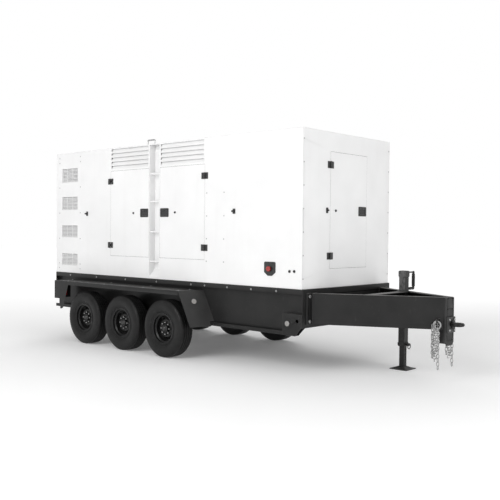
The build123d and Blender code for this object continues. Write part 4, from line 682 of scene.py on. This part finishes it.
def add_side_details(side):
    """Door seals, vent slats and baffles, and louvre baffles on one long wall."""
    out = outward(side)
    seals = bmesh.new()
    louvres = bmesh.new()
    for title in ("rear_door", "front_door"):
        x = DOOR_SPANS[title]
        z = (DOOR_FOOT, DOOR_HEAD)
        add_frame(seals, (x[0] - DOOR_GAP, x[1] + DOOR_GAP), (z[0] - DOOR_GAP, z[1] + DOOR_GAP),
                  out * (SIDE_Y - 0.0012), out, SEAL_WIDTH, 0.009)
        behind = sorted((out * (SIDE_Y - 0.062), out * (SIDE_Y - 0.060)))
        add_box(louvres, (x[0] + 0.010, behind[0], LOUVRE_FOOT), (x[1] - 0.010, behind[1], LOUVRE_HEAD))
    piece(f"door_seals_{side}", seals, SEAL_RUBBER, "trailer")
    piece(f"louvre_baffles_{side}", louvres, BAFFLE, "trailer")
    slats = bmesh.new()
    backs = bmesh.new()
    for foot, head in VENT_SPANS:
        behind = sorted((out * (SIDE_Y - 0.0260), out * (SIDE_Y - 0.0245)))
        add_box(backs, (VENT_X[0] + 0.002, behind[0], foot + 0.002),
                (VENT_X[1] - 0.002, behind[1], head - 0.002))
        for row in range(int((head - foot) / SLAT_PITCH)):
            z = foot + SLAT_PITCH / 2 + row * SLAT_PITCH
            middle = out * (SIDE_Y - 0.0040)
            first = len(slats.verts)
            add_box(slats, (VENT_X[0] + 0.004, middle - 0.0008, z - 0.0065),
                    (VENT_X[1] - 0.004, middle + 0.0008, z + 0.0065))
            slats.verts.ensure_lookup_table()
            blade = [slats.verts[i] for i in range(first, len(slats.verts))]
            tilt = Matrix.Rotation(out * SLAT_TILT, 3, "X")
            bmesh.ops.rotate(slats, cent=(0, middle, z), matrix=tilt, verts=blade)
    piece(f"vent_baffles_{side}", backs, BAFFLE, "trailer")
    piece(f"vent_slats_{side}", slats, WHITE, "trailer")


def add_plug(mesh, start, end, radius):
    """A small stepped plug on a wall."""
    start, end = Vector(start), Vector(end)
    add_bar(mesh, start, start.lerp(end, 0.4), radius * 1.25, 20)
    add_bar(mesh, start.lerp(end, 0.35), end, radius, 20)


def add_door_plugs():
    """The small key plug beside each latch, on its door."""
    for side in SIDES:
        out = outward(side)
        for title, x in KEY_PLUG_X.items():
            mesh = bmesh.new()
            add_plug(mesh, (x, out * (SIDE_Y - 0.002), DOOR_MIDDLE), (x, out * (SIDE_Y + 0.012), DOOR_MIDDLE),
                     KEY_PLUG_RADIUS)
            piece(f"{title}_key_plug_{side}", mesh, PLASTIC, f"{title}_{side}")
    mesh = bmesh.new()
    add_plug(mesh, (FRONT_X - 0.002, *CONTROL_KEY_PLUG), (FRONT_X + 0.012, *CONTROL_KEY_PLUG),
             KEY_PLUG_RADIUS)
    piece("control_door_key_plug", mesh, PLASTIC, "control_door")


for side in SIDES:
    add_side_details(side)
add_door_plugs()

# The control door's seal
mesh = bmesh.new()
for strip_low, strip_high in (
    ((-0.410, 1.295), (-0.4086, 2.783)), ((0.4126, 1.295), (0.414, 2.783)),
    ((-0.4086, 1.295), (0.4126, 1.2964)), ((-0.4086, 2.7816), (0.4126, 2.783)),
):
    add_box(mesh, (FRONT_X - 0.0102, *strip_low), (FRONT_X - 0.0012, *strip_high))
piece("control_door_seal", mesh, SEAL_RUBBER, "trailer")


# ---------------------------------------------------------------- drawbar and jack

def add_tube(mesh, points, radius, segments=12):
    """A round bar bent along a row of points."""
    points = [Vector(point) for point in points]
    rings = []
    for index, point in enumerate(points):
        before = points[max(index - 1, 0)]
        after = points[min(index + 1, len(points) - 1)]
        turn = (after - before).to_track_quat("Z", "Y")
        rings.append(ring_at(mesh, point, turn, radius, segments))
    skin(mesh, rings)


def add_ring(mesh, centre, across, up, radius, wire):
    """A closed round ring in the plane of two directions."""
    centre, across, up = Vector(centre), Vector(across), Vector(up)
    sections, sides_count = 32, 10
    normal = across.cross(up)
    rings = []
    for index in range(sections):
        angle = 2 * math.pi * index / sections
        out = across * math.cos(angle) + up * math.sin(angle)
        rings.append([
            mesh.verts.new(centre + out * (radius + wire * math.cos(2 * math.pi * k / sides_count))
                           + normal * wire * math.sin(2 * math.pi * k / sides_count))
            for k in range(sides_count)
        ])
    for index in range(sections):
        ring, following = rings[index], rings[(index + 1) % sections]
        for k in range(sides_count):
            nxt = (k + 1) % sides_count
            mesh.faces.new((ring[k], ring[nxt], following[nxt], following[k]))
    bmesh.ops.recalc_face_normals(mesh, faces=mesh.faces)


def crank_grip():
    """A ribbed rubber sleeve on the hanging arm and a swollen grip on the crank's handle."""
    low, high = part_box("jack_crank")
    arm_y = high.y - 0.005
    mesh = bmesh.new()
    for index in range(9):
        z = low.z + 0.045 + index * 0.017
        add_box(mesh, (JACK_X - 0.0200, arm_y - 0.0135, z),
                (JACK_X + 0.0200, arm_y + 0.0135, z + 0.0135), 0.005)
    add_box(mesh, (JACK_X - 0.0175, arm_y - 0.0110, low.z + 0.040),
            (JACK_X + 0.0175, arm_y + 0.0110, low.z + 0.205), 0.004)
    handle_z = low.z + 0.017
    profile = [(0.0, 0.0205), (0.3, 0.0175), (0.6, 0.0195), (1.0, 0.0170)]
    rings = []
    for share, radius in profile:
        y = arm_y - 0.012 - 0.104 * share
        rings.append([
            mesh.verts.new((JACK_X + radius * math.cos(2 * math.pi * k / 20), y,
                            handle_z - 0.002 + radius * math.sin(2 * math.pi * k / 20)))
            for k in range(20)
        ])
    skin(mesh, rings)
    bmesh.ops.recalc_face_normals(mesh, faces=mesh.faces)
    return mesh


piece("crank_grip", crank_grip(), SEAL_RUBBER, "jack_crank")

pin_low, pin_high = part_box("jack_pin")
mesh = bmesh.new()
pin_z = (pin_low.z + pin_high.z) / 2
add_ring(mesh, (pin_high.x + 0.006, JACK_Y, pin_z - 0.016), (0, 1, 0), (0, 0, 1), 0.034, 0.0055)
add_bar(mesh, (pin_high.x - 0.004, JACK_Y, pin_z), (pin_high.x + 0.016, JACK_Y, pin_z), 0.0115)
piece("pin_pull_ring", mesh, DARK_STEEL, "jack_pin", smooth=True)


def add_link(mesh, centre, turned, lean):
    """One chain link: a rounded loop of wire, edge-on or face-on, leaning a little."""
    across = Vector((math.cos(turned), math.sin(turned), 0))
    up = Vector((math.sin(lean), 0.4 * math.sin(lean), math.cos(lean))).normalized()
    points = []
    for index in range(21):
        angle = 2 * math.pi * index / 20
        stretch = 0.0095 if math.sin(angle) >= 0 else -0.0095
        rise = up * (0.0115 * math.sin(angle) + stretch)
        points.append(Vector(centre) + across * 0.0115 * math.cos(angle) + rise)
    add_tube(mesh, points, 0.0042, 8)


def chain_bundle(side):
    """The slack of a safety chain: strands that hang beside the two main ones, down from the lug's ring."""
    out = outward(side)
    mesh = bmesh.new()
    strands = (
        (-0.034, 0.010, 0.615, 0.300), (-0.008, 0.006, 0.690, 0.235),
        (0.014, 0.014, 0.695, 0.270), (0.033, 0.004, 0.690, 0.330),
    )
    if side == "left":
        strands = strands[1:3]
    for number, (shift_x, shift_y, top, foot) in enumerate(strands):
        count = int((top - foot) / LINK_STEP)
        for index in range(count):
            z = top - LINK_STEP * index
            sway = 0.006 * math.sin(1.7 * index + 2.1 * number)
            turned = 0.5 * math.pi * ((index + number) % 2) + 0.3 * math.sin(0.9 * index + number)
            x = CHAIN_X + shift_x + SLACK_SHIFT + sway
            y = out * (CHAIN_Y + shift_y) + 0.5 * sway
            add_link(mesh, (x, y, z), turned, 0.22 * math.sin(2.3 * index + number))
    bmesh.ops.recalc_face_normals(mesh, faces=mesh.faces)
    return mesh


for side in SIDES:
    piece(f"chain_slack_{side}", chain_bundle(side), CHAIN, f"safety_chain_{side}", smooth=True)


# ---------------------------------------------------------------- roof and welds


def roof_trim():
    """Two standing seams across the roof and four lifting-point covers."""
    mesh = bmesh.new()
    top = ROOF_HIGH.z
    for x in ROOF_SEAMS:
        add_box(mesh, (x - 0.012, -SIDE_Y + 0.020, top - 0.001),
                (x + 0.012, SIDE_Y - 0.020, top + 0.012), 0.003)
    for x in (ROOF_LOW.x + LIFT_POINT_INSET, FRONT_X - LIFT_POINT_INSET):
        for y in (-LIFT_POINT_Y, LIFT_POINT_Y):
            add_box(mesh, (x - 0.085, y - 0.060, top - 0.001), (x + 0.085, y + 0.060, top + 0.014), 0.005)
            add_bar(mesh, (x, y, top + 0.010), (x, y, top + 0.030), 0.034, 24)
    return mesh


def rain_flap():
    """The weighted flap that keeps rain out of the exhaust outlet, propped a little open."""
    mesh = bmesh.new()
    top = ROOF_HIGH.z
    centre = Vector((EXHAUST_X, 0, top + 0.030))
    lift = Matrix.Translation(centre) @ Matrix.Rotation(-0.32, 4, "Y")
    bmesh.ops.create_cone(mesh, cap_ends=True, segments=36, radius1=0.098, radius2=0.094, depth=0.006,
                          matrix=lift)
    add_bar(mesh, (EXHAUST_X - 0.100, -0.045, top + 0.004), (EXHAUST_X - 0.100, 0.045, top + 0.004), 0.009)
    add_box(mesh, (EXHAUST_X - 0.150, -0.018, top - 0.001), (EXHAUST_X - 0.095, 0.018, top + 0.016), 0.003)
    return mesh


def add_weld(mesh, start, end, radius=0.0045, pitch=0.007):
    """A ripple-faced weld bead from start to end."""
    start, end = Vector(start), Vector(end)
    run = end - start
    count = max(int(run.length / pitch), 2)
    points = [start + run * index / count for index in range(count + 1)]
    turn = run.to_track_quat("Z", "Y")
    rings = []
    for index, point in enumerate(points):
        swell = radius * (1.0 if index % 2 else 0.80)
        rings.append(ring_at(mesh, point, turn, swell, 8))
    skin(mesh, rings)


def arm_face(x, side):
    """The outside face of a drawbar arm at one x."""
    share = (x - ARM_ROOT[0]) / (ARM_TIP[0] - ARM_ROOT[0])
    return outward(side) * (ARM_ROOT[1] + (ARM_TIP[1] - ARM_ROOT[1]) * share)


def drawbar_welds():
    """Beads at the roots and tips of the drawbar arms and round the jack's tube."""
    mesh = bmesh.new()
    for side in SIDES:
        out = outward(side)
        for x in (ARM_ROOT[0] + 0.004, ARM_TIP[0] - 0.004):
            y = arm_face(x, side) + out * 0.001
            add_weld(mesh, (x, y, ARM_FOOT + 0.012), (x, y, ARM_HEAD - 0.012))
    ring = [(JACK_X + JACK_HALF * x, JACK_Y + JACK_HALF * y) for x, y in ((-1, -1), (1, -1), (1, 1), (-1, 1))]
    for index in range(4):
        first, after = ring[index], ring[(index + 1) % 4]
        add_weld(mesh, (*first, ARM_HEAD + 0.009), (*after, ARM_HEAD + 0.009), 0.0040)
    return mesh


piece("roof_trim", roof_trim(), WHITE, "trailer")
piece("rain_flap", rain_flap(), DARK_STEEL, "trailer")
piece("drawbar_welds", drawbar_welds(), CHASSIS, "trailer")

# Softened sheet and plate edges, which catch the light
for title, width in (
    ("drawbar", 0.0050), ("base_frame", 0.0045), ("fender_right", 0.0014), ("fender_left", 0.0014),
    ("jack_housing", 0.0022), ("jack_ram", 0.0015), ("jack_drop_leg", 0.0020), ("front_panel", 0.0015),
    ("roof_panel", 0.0015), ("rear_panel", 0.0010),
):
    weld = NODES[title].modifiers.new("weld", "WELD")
    weld.merge_threshold = 0.00002
    soften = NODES[title].modifiers.new("soften", "BEVEL")
    soften.width = width
    soften.segments = 2
    soften.limit_method = "ANGLE"
    soften.angle_limit = math.radians(50)
    soften.harden_normals = True
    soften.use_clamp_overlap = False


# ---------------------------------------------------------------- studio

def add_camera():
    """A camera near wheel height at the front right-hand corner, turned by azimuth, elevation and roll."""
    azimuth, elevation = math.radians(CAMERA_AZIMUTH), math.radians(CAMERA_ELEVATION)
    roll = math.radians(CAMERA_ROLL)
    behind = Vector((math.sin(azimuth) * math.cos(elevation), -math.cos(azimuth) * math.cos(elevation),
                     math.sin(elevation)))
    across = (-behind).cross(Vector((0, 0, 1))).normalized()
    upright = across.cross(-behind)
    rolled_across = across * math.cos(roll) + upright * math.sin(roll)
    rolled_up = upright * math.cos(roll) - across * math.sin(roll)
    data = bpy.data.cameras.new("camera")
    data.lens = CAMERA_LENS
    data.sensor_width = 36
    camera = bpy.data.objects.new("camera", data)
    matrix = Matrix((rolled_across, rolled_up, behind)).transposed().to_4x4()
    matrix.translation = Vector(CAMERA_PLACE)
    camera.matrix_world = matrix
    bpy.context.scene.collection.objects.link(camera)
    bpy.context.scene.camera = camera


def add_light(name, place_at, target, size, power):
    """A soft square lamp aimed at a point."""
    data = bpy.data.lights.new(name, "AREA")
    data.size = size
    data.energy = power
    lamp = bpy.data.objects.new(name, data)
    lamp.location = place_at
    lamp.visible_camera = False
    lamp.rotation_euler = (Vector(target) - Vector(place_at)).to_track_quat("-Z", "Y").to_euler()
    bpy.context.scene.collection.objects.link(lamp)


def add_studio():
    """A wide flat floor, three soft lamps, and a world that is white to the camera and dimmer as light."""
    mesh = bmesh.new()
    corners = ((-1, -1), (1, -1), (1, 1), (-1, 1))
    mesh.faces.new([mesh.verts.new((FLOOR_REACH * x, FLOOR_REACH * y, 0)) for x, y in corners])
    data = bpy.data.meshes.new("floor")
    mesh.to_mesh(data)
    mesh.free()
    data.materials.append(floor_skin().material)
    floor = bpy.data.objects.new("floor", data)
    bpy.context.scene.collection.objects.link(floor)
    world = bpy.data.worlds.new("studio")
    world.use_nodes = True
    tree = world.node_tree
    background = tree.nodes["Background"]
    background.inputs["Color"].default_value = (1, 1, 1, 1)
    seen = tree.nodes.new("ShaderNodeLightPath")
    strength = tree.nodes.new("ShaderNodeMapRange")
    strength.inputs["To Min"].default_value = WORLD_STRENGTH
    strength.inputs["To Max"].default_value = 1.0
    tree.links.new(seen.outputs["Is Camera Ray"], strength.inputs["Value"])
    tree.links.new(strength.outputs["Result"], background.inputs["Strength"])
    bpy.context.scene.world = world
    add_light("key", (1, -12, 7), (0, 0, 1.4), 7, 760)
    add_light("front", (12, -2, 4), (1.5, 0, 1.5), 5, 360)
    add_light("back", (-8, 9, 8), (0, 0, 1), 6, 300)


add_camera()
add_studio()
bpy.context.scene.view_settings.view_transform = "Standard"
